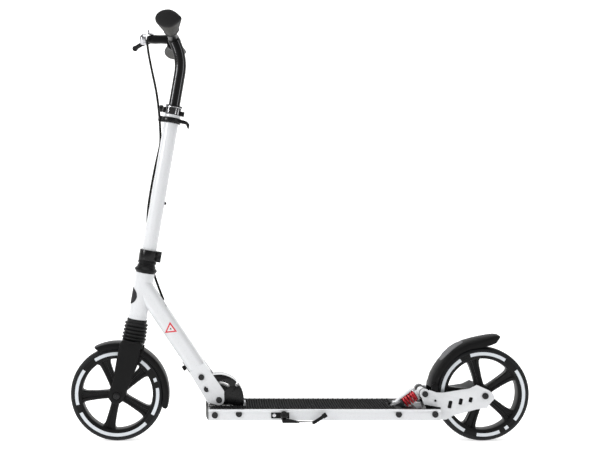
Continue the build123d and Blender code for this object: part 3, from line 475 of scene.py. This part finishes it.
# ---------------------------------------------------------------- operators
class SCOOTER_OT_stage(bpy.types.Operator):
    """Make the camera, the pale floor and the soft lights."""
    bl_idname = "scooter.stage"
    bl_label = "Stage"

    def execute(self, context):
        scene = context.scene
        data = bpy.data.cameras.new("camera")
        data.sensor_width = 36.0
        data.lens = 54.67
        data.shift_x = 0.1567
        data.shift_y = -0.0417
        data.clip_end = 60.0
        eye = bpy.data.objects.new("camera", data)
        eye.location = (-0.205, -2.0, 0.526)
        eye.rotation_euler = (math.radians(90), 0, 0)
        scene.collection.objects.link(eye)
        scene.camera = eye
        bm = bmesh.new()
        profile = [(0, -14.0, 0.0), (0, 2.2, 0.0)]
        for i in range(1, 9):
            a = math.radians(i * 90 / 8)
            profile.append((0, 2.2 + 1.6 * math.sin(a), 1.6 * (1 - math.cos(a))))
        profile.append((0, 3.8, 7.0))
        verts, edges = outline_edges(bm, [Vector(p) + Vector((-14, 0, 0)) for p in profile], closed=False)
        grown = bmesh.ops.extrude_edge_only(bm, edges=edges)["geom"]
        bmesh.ops.translate(bm, vec=(28, 0, 0), verts=[g for g in grown if isinstance(g, bmesh.types.BMVert)])
        bmesh.ops.recalc_face_normals(bm, faces=bm.faces)
        mesh = bpy.data.meshes.new("floor")
        bm.to_mesh(mesh)
        bm.free()
        mesh.shade_smooth()
        pale = finish("floor")
        pale.node_tree.nodes["Principled BSDF"].inputs["Emission Color"].default_value = (1, 1, 1, 1)
        pale.node_tree.nodes["Principled BSDF"].inputs["Emission Strength"].default_value = 0.62
        mesh.materials.append(pale)
        floor = bpy.data.objects.new("floor", mesh)
        scene.collection.objects.link(floor)
        world = bpy.data.worlds.new("studio")
        world.use_nodes = True
        world.node_tree.nodes["Background"].inputs["Color"].default_value = (1, 1, 1, 1)
        world.node_tree.nodes["Background"].inputs["Strength"].default_value = 0.34
        scene.world = world
        scene.view_settings.view_transform = "Standard"
        lamps = (("key", (-3.0, -1.6, 1.6), 1.0, 52), ("fill", (2.8, -2.4, 1.2), 1.0, 8),
                 ("top", (0.0, -0.4, 3.2), 2.0, 40))
        for name, place, size, power in lamps:
            lamp = bpy.data.lights.new(name, "AREA")
            lamp.size = size
            lamp.energy = power
            holder = bpy.data.objects.new(name, lamp)
            holder.location = place
            holder.rotation_euler = (Vector((0, 0, 0.35)) - Vector(place)).to_track_quat("-Z", "Y").to_euler()
            scene.collection.objects.link(holder)
        return {"FINISHED"}


class SCOOTER_OT_finishes(bpy.types.Operator):
    """Give every CAD node the finish of its own material."""
    bl_idname = "scooter.finishes"
    bl_label = "Finishes"

    def execute(self, context):
        for name, nodes in NODE_FINISH.items():
            for node in nodes:
                target = frame["nodes"].get(node)
                if target is None:
                    raise RuntimeError(f"no CAD node {node}")
                target.data.materials.clear()
                target.data.materials.append(finish(name))
        return {"FINISHED"}


BANDS = {
    "front": ((-30, 9), (-153, -45), (-216, -165), (-300, -237), (-322, -306), (-342, -336.5)),
    "rear": ((-39, 36), (-57.5, -52), (-99, -66), (-175, -117), (-237, -183), (-303, -252)),
}
FIRST_SPOKE = {"front": 40.5, "rear": 33.0}


class SCOOTER_OT_wheels(bpy.types.Operator):
    """Make the tyres, the rims with their grooved spokes and the silver arcs."""
    bl_idname = "scooter.wheels"
    bl_label = "Wheels"

    def execute(self, context):
        sizes = context.scene.scooter_sizes
        for end, hub in (("front", FRONT_HUB), ("rear", REAR_HUB)):
            body = end + "_wheel"
            place = hub_matrix(hub)
            bm = bmesh.new()
            half = [(92.6, 14.2), (93.2, 15.0), (96.6, 15.0), (98.6, 14.2), (100.6, 12.2), (101.8, 9.4),
                    (102.4, 5.6), (102.45, 1.3), (101.7, 0.7)]
            turned(bm, half + [(r, -y) for r, y in reversed(half)], place, steps=128)
            piece(end + "_tyre_round", bm, body, [finish("tyre")], [end + "_tyre"])
            bm = bmesh.new()
            lip = [(93.0, 14.9), (84.4, 14.9), (83.4, 14.0), (79.2, 13.6), (77.8, 12.8), (77.2, 11.2),
                   (76.6, 5.0)]
            turned(bm, lip + [(r, -y) for r, y in reversed(lip)], place, steps=128)
            nave = [(11.2, 16.0), (13.6, 16.0), (14.2, 15.2), (17.4, 15.0), (19.0, 13.4), (20.4, 9.0)]
            turned(bm, nave + [(r, -y) for r, y in reversed(nave)], place, steps=64)
            section = [(-1, -0.7), (-0.8, -1), (-0.34, -1), (-0.26, -0.74), (0.26, -0.74), (0.34, -1),
                       (0.8, -1), (1, -0.7)]
            section += [(x, -y) for x, y in reversed(section)]
            runs = ((15.0, 9.4, 11.0), (22.0, 8.8, 10.4), (34.0, 8.9, 9.8), (48.0, 9.6, 9.6),
                    (60.0, 10.4, 9.8), (68.0, 11.4, 10.2), (72.5, 13.0, 10.8), (75.4, 16.0, 11.4),
                    (78.6, 23.0, 12.4))
            for i in range(sizes.spokes):
                spin = hub_matrix(hub, FIRST_SPOKE[end] + 360.0 * i / sizes.spokes)
                out = (spin.to_3x3() @ Vector((1, 0, 0))).normalized()
                across = (spin.to_3x3() @ Vector((0, 1, 0))).normalized()
                stations = [station(hub + out * r, out, across, w, d) for r, w, d in runs]
                swept(bm, section, stations)
            piece(end + "_rim_cast", bm, body, [finish("rim plastic")], [end + "_rim"])
            bm = bmesh.new()
            for start, stop in BANDS[end]:
                for y in (14.85, -15.1):
                    strip = [(84.9, y), (92.0, y), (92.0, y + 0.25), (84.9, y + 0.25)]
                    turned(bm, strip, place, start, stop, max(2, int(abs(stop - start) / 3)))
            piece(end + "_wheel_bands", bm, body, [finish("wheel band")])
        return {"FINISHED"}


class SCOOTER_OT_fork(bpy.types.Operator):
    """Make the fork, its mudguard and the ribbed boot."""
    bl_idname = "scooter.fork"
    bl_label = "Fork"

    def execute(self, context):
        sizes = context.scene.scooter_sizes
        bm = bmesh.new()
        levels = ((219.0, -389.6, -346.5, 0.72), (214.0, -391.6, -345.8, 0.95), (204.0, -393.9, -346.8, 1.0),
                  (193.0, -396.2, -348.4, 1.0), (177.0, -399.4, -353.2, 1.0), (158.0, -402.6, -357.4, 1.0),
                  (140.0, -405.0, -364.6, 1.0), (129.0, -407.4, -369.4, 1.0), (119.0, -411.6, -373.0, 1.0),
                  (111.0, -415.2, -377.6, 1.0), (102.5, -416.5, -380.5, 1.0), (95.0, -414.9, -382.1, 1.0),
                  (89.0, -410.6, -386.4, 0.95), (85.6, -405.2, -391.8, 0.8), (84.4, -400.6, -396.4, 0.45))
        for side in (-1, 1):
            stations = []
            for z, front, rear, thick in levels:
                stations.append(station(((front + rear) / 2, side * 28.4, z), (0, 0, -1), (1, 0, 0),
                                        (rear - front) / 2, 3.5 * thick))
            swept(bm, ellipse(1, 1, 28, 0.62), stations)
            place = station((FRONT_HUB.x, side * 31.2, FRONT_HUB.z), (0, side, 0), (1, 0, 0))
            cap = [(0.05, 0), (13.0, 0), (13.0, 0.5), (12.2, 1.3), (9.2, 1.3), (8.6, 0.7), (0.05, 0.7)]
            turned(bm, cap, place, steps=40)
        block = ellipse(1, 1, 32, 0.5)
        rows = ((-31.6, 0.86), (-30.0, 0.97), (-26.0, 1.0), (26.0, 1.0), (30.0, 0.97), (31.6, 0.86))
        stations = [station(steer(-1.5, y, 113.6), SIDE, BACK, 23.6 * f, 8.0 * f) for y, f in rows]
        swept(bm, block, stations)
        shoulder = [(12.0, 121.5), (24.2, 121.5), (25.0, 120.6), (25.0, 117.0), (12.0, 115.0)]
        turned(bm, shoulder, steer_matrix(), steps=64)
        rounded_box(bm, Matrix.Translation(steer(24.6, -19.0, 105.5)) @ steer_matrix().to_3x3().to_4x4(),
                    (4.0, 11.0, 22.0), 1.2)
        piece("fork_moulded", bm, "fork", [finish("black plastic")], ["fork"], crease=40)

        bm = bmesh.new()
        outer = [(100.4, -23.6), (104.0, -23.9), (109.0, -23.3), (112.2, -21.0), (113.4, -17.0),
                 (113.9, -9.0), (114.1, 0.0)]
        outer += [(r, -y) for r, y in reversed(outer[:-1])]
        inner = [(r - (1.9 if abs(y) < 20 else 0.6), y * 0.918) for r, y in outer]
        place = hub_matrix(FRONT_HUB)
        turned(bm, outer + inner[::-1], place, -16.0, 113.0, 64)
        back = place.inverted()
        for v in bm.verts:
            local = back @ v.co
            r, a = math.hypot(local.x, local.y), math.degrees(math.atan2(local.y, local.x))
            if a > 108:
                a += (r - 104.0) / 10.0 * 3.2 * (a - 108) / 5.0
            elif a < -11:
                a += 2.4 * ((r - 107.5) / 7.0) ** 2 * (-11 - a) / 5.0
            v.co = place @ Vector((r * math.cos(math.radians(a)), r * math.sin(math.radians(a)), local.z))
        piece("front_mudguard_moulded", bm, "fork", [finish("black plastic")], ["front_mudguard"])

        bm = bmesh.new()
        low, high = 122.0, 168.2
        pitch = (high - 6.8 - low) / sizes.boot_ribs
        profile = [(18.6, low), (23.0, low)]
        for i in range(sizes.boot_ribs):
            z = low + i * pitch
            swell = 26.6 - 0.25 * i
            profile += [(swell - 1.2, z + 0.12 * pitch), (swell - 0.2, z + 0.28 * pitch),
                        (swell, z + 0.45 * pitch), (swell - 0.4, z + 0.62 * pitch),
                        (swell - 2.6, z + 0.78 * pitch), (21.2, z + 0.9 * pitch), (21.2, z + pitch)]
        profile += [(21.8, high - 5.4), (21.9, high - 0.8), (21.2, high - 0.2), (18.6, high - 0.2)]
        turned(bm, profile, steer_matrix(), steps=72)
        boot = piece("fork_boot_bellows", bm, None, [finish("bellows rubber")], ["fork_boot"],
                     crease=55)
        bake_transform(boot)
        bm = bmesh.new()
        bm.from_mesh(frame["nodes"]["front_spring"].data)
        bmesh.ops.scale(bm, vec=(1000, 1000, 1000), verts=bm.verts)
        coil = piece("front_spring_coil", bm, None, [finish("dark steel")],
                     ["front_spring"], crease=60)
        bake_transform(coil)
        return {"FINISHED"}


class SCOOTER_OT_deck(bpy.types.Operator):
    """Make the studded mat and the rounded end cap, and ease the deck's edges."""
    bl_idname = "scooter.deck"
    bl_label = "Deck"

    def execute(self, context):
        sizes = context.scene.scooter_sizes
        soft = sizes.edge * 1000
        for node in ("deck_shell", "stand_bracket", "tail_cover", "nose_cap", "shock_strap"):
            softened(node, finish("white paint" if node == "deck_shell" else
                                  "pale alloy" if node == "shock_strap" else "black plastic"), soft)
        low, high = [corner * 1000 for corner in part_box("deck_grip")]
        bm = bmesh.new()
        front, rear, half = low.x, high.x, high.y
        gap, notch, slit = 17.6, FOLD.x + 59.2, 14.4
        outline = [(front, -half), (rear, -half), (rear, -slit), (194.6, -slit), (194.6, slit), (rear, slit),
                   (rear, half), (front, half), (front, gap), (notch, gap), (notch, -gap), (front, -gap)]
        verts = [bm.verts.new((x, y, low.z)) for x, y in outline]
        sheet = bm.faces.new(verts)
        grown = bmesh.ops.extrude_face_region(bm, geom=[sheet])["geom"]
        top = [g for g in grown if isinstance(g, bmesh.types.BMVert)]
        bmesh.ops.translate(bm, vec=(0, 0, 2.9), verts=top)
        pitch = sizes.stud_pitch * 1000
        rows = int((rear - front - 8) / pitch)
        across = int((2 * half - 8) / (pitch * 0.78))
        for i in range(rows * 2):
            x = front + 6.5 + i * pitch / 2
            for j in range(across + (i % 2)):
                y = (j - (across + (i % 2) - 1) / 2) * pitch * 0.78
                inside = abs(y) < gap + 3.6 and x < notch + 3.6
                inside = inside or (abs(y) < slit + 3.2 and x > 191.5) or abs(y) > half - 3.4
                if inside:
                    continue
                stud = Matrix.Translation((x, y, low.z + 3.9)) @ Matrix.Rotation(math.radians(45), 4, "Z")
                bmesh.ops.create_cone(bm, cap_ends=True, cap_tris=False, segments=4, radius1=3.5, radius2=1.9,
                                      depth=2.3, matrix=stud @ Matrix.Rotation(math.radians(45), 4, "Z")
                                      @ Matrix.Diagonal((1.35, 0.95, 1, 1)))
        piece("deck_mat_studded", bm, "deck", [finish("soft rubber")], ["deck_grip"])
        return {"FINISHED"}


class SCOOTER_OT_frame(bpy.types.Operator):
    """Ease the edges of the frame's plates and add the badge and the triangle."""
    bl_idname = "scooter.frame"
    bl_label = "Frame"

    def execute(self, context):
        soft = context.scene.scooter_sizes.edge * 1000
        softened("quadrant_covers", finish("black gloss"), soft)
        block = softened("fold_quadrant", finish("pale alloy"), soft)
        block.data.materials.append(finish("black gloss"))
        for face in block.data.polygons:
            away = face.center * 1000 - FOLD
            inner = math.hypot(away.x, away.z) < 52.0 and away.x < 46.0
            face.material_index = 1 if inner else 0
        softened("latch_slider", finish("black plastic"), soft * 0.7)
        bm = bmesh.new()
        stations, steps = [], 12
        for k in range(-steps, steps + 1):
            a = math.radians(66.0 * k / steps)
            high = max(0.8, 18.4 * math.sqrt(max(0.0, 1 - (k / steps) ** 2)))
            tangent = BACK * math.sin(a) - SIDE * math.cos(a)
            spot = steer(-20.0 * math.cos(a), -20.0 * math.sin(a), 216.5)
            stations.append(station(spot, tangent, UP, high, 1.0))
        swept(bm, [(-1, -0.4), (1, -0.4), (1, 0.7), (0.86, 1.0), (-0.86, 1.0), (-1, 0.7)], stations)
        piece("head_badge", bm, "front_frame", [finish("badge")])
        centre = Vector((-281.9, -20.0, 246.0))
        for name, size, low, high, tone in (("tube_triangle_edge", 15.4, -0.1, 0.14, "sticker red"),
                                            ("tube_triangle_field", 9.4, 0.0, 0.2, "sticker white"),
                                            ("tube_triangle_mark", 2.8, 0.1, 0.26, "badge")):
            bm = bmesh.new()
            corners = []
            for i in range(3):
                a = math.radians(96 + 120 * i)
                corners.append((centre.x + size * math.cos(a), centre.z + size * math.sin(a)))
            plate(bm, corners, centre.y - high, centre.y - low, 0.0)
            piece(name, bm, "front_frame", [finish(tone)])
        return {"FINISHED"}


class SCOOTER_OT_swing_arm(bpy.types.Operator):
    """Make the red spring, ease the arm's plates and lay painted shade between the cheeks."""
    bl_idname = "scooter.swing_arm"
    bl_label = "Swing arm"

    def execute(self, context):
        sizes = context.scene.scooter_sizes
        soft = sizes.edge * 1000
        for node, tone in (("arm_cheek_left", "white paint"), ("arm_cheek_right", "white paint"),
                           ("arm_yoke", "black paint")):
            softened(node, finish(tone), soft)
        low = Vector((206.3, 0, 68.6))
        run = SHOCK_TOP - low
        place = station(low, run, SIDE)
        base, top = 26.0, run.length - 17.2
        wire = sizes.coil_wire * 1000
        turns = sizes.coil_turns
        coil_r = 11.2
        points, count = [], int(turns * 28)
        for i in range(count + 1):
            share = i / count
            if share < 0.12:
                rise = share * 0.35
            elif share > 0.88:
                rise = 1 - (1 - share) * 0.35
            else:
                rise = 0.042 + (share - 0.12) * (1 - 0.084) / 0.76
            a = 2 * math.pi * turns * share
            points.append(place @ Vector((coil_r * math.cos(a), coil_r * math.sin(a), base + wire * 0.6
                                          + (top - base - wire * 1.2) * rise)))
        bm = bmesh.new()
        tube(bm, points, wire, 12, side=run)
        coil = piece("rear_spring_coil", bm, None, [finish("red enamel")], ["rear_spring"],
                     crease=60)
        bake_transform(coil)
        # Thin black sheets on the inner faces of the white cheeks: painted shade in the gap between them.
        bm = bmesh.new()
        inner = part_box("arm_cheek_right")[0].y * 1000
        painted_shade_outline = [(316.0, 74.0), (330.0, 72.0), (374.0, 86.0), (376.0, 102.0), (352.0, 99.5), (330.0, 96.0),
                 (316.0, 94.0)]
        for side in (-1, 1):
            low, high = sorted((side * inner, side * (inner - 0.7)))
            plate(bm, painted_shade_outline, low, high, 0.0)
        piece("cheek_painted_shade", bm, "swing_arm", [finish("black plastic")])
        return {"FINISHED"}


class SCOOTER_OT_foot_brake(bpy.types.Operator):
    """Make the crowned rear mudguard that presses on the tyre, and its pad."""
    bl_idname = "scooter.foot_brake"
    bl_label = "Foot brake"

    def execute(self, context):
        crown = ((283.0, 119.0), (284.4, 131.0), (288.6, 144.5), (296.0, 158.6), (306.0, 173.0),
                 (318.0, 187.2), (331.0, 199.4), (345.0, 209.4), (361.0, 217.4), (378.4, 222.6),
                 (396.0, 226.6), (412.0, 229.6), (425.0, 231.2), (433.0, 231.0), (437.6, 228.6))
        depth = (14.0, 14.5, 15.0, 15.0, 15.0, 15.0, 15.5, 16.0, 17.0, 19.0, 20.5, 19.5, 16.5, 12.0, 6.0)
        width = (21.5, 22.5, 23.0, 23.3, 23.5, 23.6, 23.6, 23.6, 23.4, 23.0, 22.4, 21.4, 19.8, 17.6, 14.0)
        outer = [(-1.0, -1.0), (-1.01, -0.45), (-0.94, -0.18), (-0.78, -0.06), (-0.4, 0.04), (0.0, 0.08)]
        outer += [(-x, y) for x, y in reversed(outer[:-1])]
        inner = [(x * 0.89, y - (0.24 if y > -0.9 else 0.0)) for x, y in outer]
        points = [Vector((x, 0, z)) for x, z in crown]
        stations = []
        for i, point in enumerate(points):
            before, after = points[max(i - 1, 0)], points[min(i + 1, len(points) - 1)]
            stations.append(station(point, after - before, SIDE, width[i], depth[i]))
        bm = bmesh.new()
        swept(bm, outer + inner[::-1], stations)
        for side in (-1, 1):
            ear = [(286.4, 92.2), (287.6, 88.8), (290.6, 87.6), (293.6, 88.8), (295.2, 92.2), (296.0, 106.0),
                   (298.0, 122.0), (292.0, 130.0), (285.4, 126.0), (284.0, 112.0)]
            y = side * 24.2
            plate(bm, ear, min(y, y + side * 1.9), max(y, y + side * 1.9), 0.5)
        piece("foot_brake_moulded", bm, "foot_brake", [finish("black plastic")],
              ["foot_brake"], crease=48)
        bm = bmesh.new()
        stations = []
        shape = ((0.2, 11.0), (1.5, 16.0), (1.7, 16.6), (1.6, 15.0), (0.2, 10.0))
        for i, (lift, wide) in zip(range(4, 9), shape):
            before, after = points[i - 1], points[i + 1]
            base = station(points[i], after - before, SIDE, wide, 1.0)
            base.translation = points[i] + base.to_3x3() @ Vector((0, lift, 0))
            stations.append(base)
        skin = [(-1.0, -1.6), (-0.96, -0.5), (-0.8, 0.1), (-0.4, 0.5), (0.0, 0.65)]
        skin += [(-x, y) for x, y in reversed(skin[:-1])]
        swept(bm, skin + [(x, -2.4) for x, y in reversed(skin)], stations)
        piece("foot_brake_pad", bm, "foot_brake", [finish("grey pad")], ["foot_pad"], crease=50)
        return {"FINISHED"}


class SCOOTER_OT_handlebar(bpy.types.Operator):
    """Make the wing grips with painted light on their undersides, the painted highlight lines on the post, the
    lever, its mount and the bell.
    """
    bl_idname = "scooter.handlebar"
    bl_label = "Handlebar"

    def execute(self, context):
        rows = ((92.0, 14.6, 14.4, 0.0), (94.0, 16.4, 15.8, 0.0), (98.0, 16.6, 16.0, 0.0),
                (100.0, 15.2, 14.8, 0.0), (108.0, 15.8, 15.2, 0.0), (130.0, 18.0, 16.6, -0.3),
                (160.0, 21.4, 17.6, -0.9),
                (182.0, 24.0, 18.2, -1.5), (198.0, 25.6, 18.4, -2.0), (204.0, 25.8, 18.2, -2.0),
                (208.0, 24.4, 16.8, -2.0), (210.0, 21.2, 14.0, -1.9))
        wing = []
        for i in range(36):
            a = 2 * math.pi * i / 36
            c, s = math.cos(a), math.sin(a)
            wing.append((c * (1.0 + 0.04 * max(0.0, c) ** 6), s * (1.0 - 0.42 * max(0.0, c) ** 2)))
        for side, node in ((-1, "grip_left"), (1, "grip_right")):
            bm = bmesh.new()
            stations = [station((BAR.x + shift, side * y, BAR.z - shift * 0.7), (0, side, 0), (1, 0, 0), a, b)
                        for y, a, b, shift in rows]
            swept(bm, wing, stations)
            # The lower faces of each wing take a lighter grey: painted light on the grips' undersides.
            for face in bm.faces:
                middle = face.calc_center_median()
                face.material_index = 1 if (middle.z < BAR.z - 7.5 and 112 < abs(middle.y) < 206) else 0
            piece(node + "_wing", bm, "handlebar", [finish("grip rubber"), finish("grip painted underlight")],
                  [node], crease=38)

        corner, lean = steer(0, 0, 746.3), math.radians(23.6)
        last = corner + Vector((-math.sin(lean), 0, math.cos(lean))) * 33.9
        bend = smooth_path([steer(0, 0, 712.4), corner, last], 20)
        line = [steer(0, 0, t) for t in (480.0, 560.0, 644.0, 670.0, 700.0)] + bend
        line += [corner + Vector((-math.sin(lean), 0, math.cos(lean))) * 40.0]
        # Two thin lighter lines along the post's near side: painted highlights where the lamps shine on the black
        # tube.
        bm = bmesh.new()
        for angle in (-34, 34):
            a = math.radians(angle)
            strip = []
            for step in (-3.2, 0.0, 3.2):
                b = a + math.radians(step)
                strip.append((12.44 * math.sin(b), -12.44 * math.cos(b)))
            for step in (3.2, 0.0, -3.2):
                b = a + math.radians(step)
                strip.append((12.53 * math.sin(b), -12.53 * math.cos(b)))
            stations = path_stations(line, BACK)
            swept(bm, strip, stations)
        piece("post_painted_highlights", bm, "handlebar", [finish("painted highlight line")])

        mount_z = BAR.z + 10.5
        bm = bmesh.new()
        place = station((BAR.x, 66.0, BAR.z), SIDE, (1, 0, 0))
        clip = [(11.1, -2.0), (15.6, -2.0), (16.4, -1.0), (16.4, 20.0), (15.6, 21.0), (11.1, 21.0)]
        turned(bm, clip, place, steps=40)
        spots = ((BAR.x - 6.0, 11.0, 10.4), (BAR.x - 18.0, 10.5, 9.8), (BAR.x - 30.0, 12.5, 9.0),
                 (BAR.x - 44.0, 13.0, 9.6), (BAR.x - 56.0, 12.5, 8.6), (BAR.x - 62.0, 9.0, 6.0))
        stations = [station((x, 80.0, mount_z - 0.6), (-1, 0, 0), SIDE, w, d) for x, w, d in spots]
        swept(bm, ellipse(1, 1, 20, 0.6), stations)
        rounded_box(bm, Matrix.Translation((BAR.x - 8.0, 77.0, BAR.z + 14.2)), (16.0, 17.0, 8.0), 2.4)
        piece("brake_mount_moulded", bm, "handlebar", [finish("black plastic")],
              ["brake_mount"], crease=42)

        hinge = joint_point("brake_squeeze")
        z = mount_z - 3.0
        bends = ((2.0, -4.0), (-4.0, 8.0), (-14.0, 24.0), (-24.0, 42.0), (-31.0, 60.0), (-38.0, 80.0),
                 (-44.0, 99.0))
        line = smooth_path([(hinge.x + x, hinge.y + y, z) for x, y in bends], 26)
        count = len(line)
        wide = [6.4 - 1.6 * min(1.0, 1.6 * i / count) for i in range(count)]
        deep = [4.6 for _ in range(count)]
        bm = bmesh.new()
        swept(bm, ellipse(1, 1, 18, 0.75), path_stations(line, (1, 0, 0), wide, deep))
        bmesh.ops.create_uvsphere(bm, u_segments=24, v_segments=16, radius=6.8,
                                  matrix=Matrix.Translation((hinge.x - 44.5, hinge.y + 102.0, z)))
        piece("brake_lever_cast", bm, "brake_lever", [finish("lever lacquer")], ["brake_lever"],
              crease=45)

        dome = station((BAR.x - 63.4, 74.0, mount_z - 1.6), (-1, 0, 0), (0, 0, 1))
        bm = bmesh.new()
        turned(bm, [(2.0, 0.3), (12.2, 0.3), (12.6, 1.0), (12.6, 4.6), (12.0, 5.0), (12.0, 5.7), (12.5, 6.2),
                    (12.1, 9.0), (10.6, 12.0), (7.6, 14.1), (4.0, 15.0), (2.0, 15.2)], dome, steps=56)
        piece("bell_polished", bm, "handlebar", [finish("chrome")], ["bell_dome"], crease=40)
        return {"FINISHED"}


class SCOOTER_OT_levers(bpy.types.Operator):
    """Make the quick-release lever, its band, the collar trim ring, the painted highlight strips on the collar
    and the knob.
    """
    bl_idname = "scooter.levers"
    bl_label = "Clamp and levers"

    def execute(self, context):
        soft = context.scene.scooter_sizes.edge * 1000
        for node, tone in (("quick_release_band", "black gloss"), ("top_collar", "black gloss"),
                           ("quick_release_lever", "black gloss"), ("stem_clamp", "black gloss")):
            softened(node, finish(tone), soft)
        bm = bmesh.new()
        turned(bm, [(16.8, 636.8), (18.2, 636.8), (18.7, 637.2), (18.7, 638.6), (18.2, 639.0), (16.8, 639.0)],
               steer_matrix(), steps=64)
        piece("collar_ring", bm, "steering", [finish("bright steel")])
        # Four bright strips on the collar's near face: painted highlights, the lamps' glints on the black collar.
        bm = bmesh.new()
        for angle in (-62, -38, 22, 44):
            a = math.radians(angle)
            spot = steer(16.7 * math.sin(a), -16.7 * math.cos(a), 629.6)
            outward = BACK * math.sin(a) - SIDE * math.cos(a)
            rows = Matrix((BACK * math.cos(a) + SIDE * math.sin(a), outward, UP)).transposed().to_4x4()
            rows.translation = spot
            rounded_box(bm, rows, (2.3, 0.8, 13.0), 0.25, 2)
        piece("collar_painted_highlights", bm, "steering", [finish("bright steel")])
        place = station(steer(-23.2, 0, 631.5), -BACK, UP)
        bm = bmesh.new()
        knob = [(0.05, 0.0), (6.6, 0.0), (7.4, 0.8), (7.6, 2.0), (7.6, 6.0), (7.0, 7.4), (5.6, 8.0), (0.05, 8.0)]
        turned(bm, knob, place, steps=36)
        piece("collar_knob_round", bm, "knob", [finish("black gloss")], ["collar_knob"])
        return {"FINISHED"}


class SCOOTER_OT_bolts(bpy.types.Operator):
    """Add the domed heads of the axle bolts."""
    bl_idname = "scooter.bolts"
    bl_label = "Bolt heads"

    def execute(self, context):
        heads = (("front_axle_head", FRONT_HUB, "fork"), ("rear_axle_head", REAR_HUB, "swing_arm"))
        for name, centre, body in heads:
            low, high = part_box("front_axle" if body == "fork" else "rear_axle")
            bm = bmesh.new()
            button_head(bm, (centre.x, low.y * 1000 + 2.0, centre.z), (0, -1, 0), 6.9, 2.9)
            button_head(bm, (centre.x, high.y * 1000 - 2.0, centre.z), (0, 1, 0), 6.9, 2.9)
            piece(name, bm, body, [finish("black oxide")])
        low, high = [corner * 1000 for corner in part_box("stand_bracket")]
        bm = bmesh.new()
        face = middle_of("deck_shell").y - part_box("deck_shell")[1].y * 1000 - 1.2
        button_head(bm, (low.x + 6.4, face, 67.6), (0, -1, 0), 4.0, 2.2)
        piece("stand_screw", bm, "deck", [finish("bright steel")])
        return {"FINISHED"}


class SCOOTER_OT_cable(bpy.types.Operator):
    """Lay the brake cable from the lever down the stem and into the frame."""
    bl_idname = "scooter.cable"
    bl_label = "Brake cable"

    def execute(self, context):
        upper = [(BAR.x - 58.0, 64.2, BAR.z + 9.5), (-337.8, 53.0, 890.0), (-335.5, 45.0, 862.0),
                 (-326.0, 32.0, 816.0),
                 (-315.0, 18.5, 768.0), (-309.4, 13.6, 728.0), (-306.6, 13.4, 694.0), (-305.0, 12.6, 655.0),
                 steer(-16.6, 12.8, 545.0), steer(-18.8, 8.8, 505.0), steer(-19.6, 6.2, 455.0),
                 steer(-18.8, 9.0, 405.0), steer(-13.0, 17.5, 365.0), steer(-4.0, 24.6, 332.0),
                 steer(6.0, 27.8, 303.0), steer(13.8, 26.4, 272.0)]
        low, high = [corner * 1000 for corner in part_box("cable_frame")]
        upper.append((high.x - 3.0, 9.0, low.z + 1.0))
        line = smooth_path([Vector(p) for p in upper], 120)
        split = min(range(len(line)), key=lambda i: abs((line[i] - FOOT).dot(UP) - 520.0))
        for name, part, bodies, nodes in (
                ("cable_upper_run", line[:split + 1], ("handlebar", "steering"), ["cable_bar"]),
                ("cable_lower_run", line[split:], ("steering", "front_frame"), ["cable_stem", "cable_frame"])):
            bm = bmesh.new()
            tube(bm, part, 2.6, 12, side=(0.3, 1, 0))
            run = piece(name, bm, None, [finish("soft rubber")], nodes, crease=60)
            if bodies[0] == "handlebar":
                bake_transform(run)
            else:
                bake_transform(run)
        return {"FINISHED"}


class SCOOTER_PT_panel(bpy.types.Panel):
    """The scooter's pieces, one button each."""
    bl_idname = "SCOOTER_PT_panel"
    bl_label = "Kick scooter"
    bl_space_type = "VIEW_3D"
    bl_region_type = "UI"
    bl_category = "Scooter"

    def draw(self, context):
        layout = self.layout
        for operator in STEPS:
            layout.operator(operator.bl_idname)
        for group in (context.scene.scooter_sizes, context.scene.scooter_colours):
            for key in group.__annotations__:
                layout.prop(group, key)


STEPS = (SCOOTER_OT_stage, SCOOTER_OT_finishes, SCOOTER_OT_cable, SCOOTER_OT_wheels, SCOOTER_OT_fork,
         SCOOTER_OT_deck, SCOOTER_OT_frame, SCOOTER_OT_swing_arm, SCOOTER_OT_foot_brake, SCOOTER_OT_handlebar,
         SCOOTER_OT_levers, SCOOTER_OT_bolts)
CLASSES = (ScooterColours, ScooterSizes) + STEPS + (SCOOTER_PT_panel,)


def register():
    for cls in CLASSES:
        bpy.utils.register_class(cls)
    bpy.types.Scene.scooter_colours = PointerProperty(type=ScooterColours)
    bpy.types.Scene.scooter_sizes = PointerProperty(type=ScooterSizes)


def unregister():
    del bpy.types.Scene.scooter_sizes
    del bpy.types.Scene.scooter_colours
    for cls in reversed(CLASSES):
        bpy.utils.unregister_class(cls)


def main():
    register()
    for operator in STEPS:
        group, name = operator.bl_idname.split(".")
        getattr(getattr(bpy.ops, group), name)()


if __name__ == "__main__":
    main()
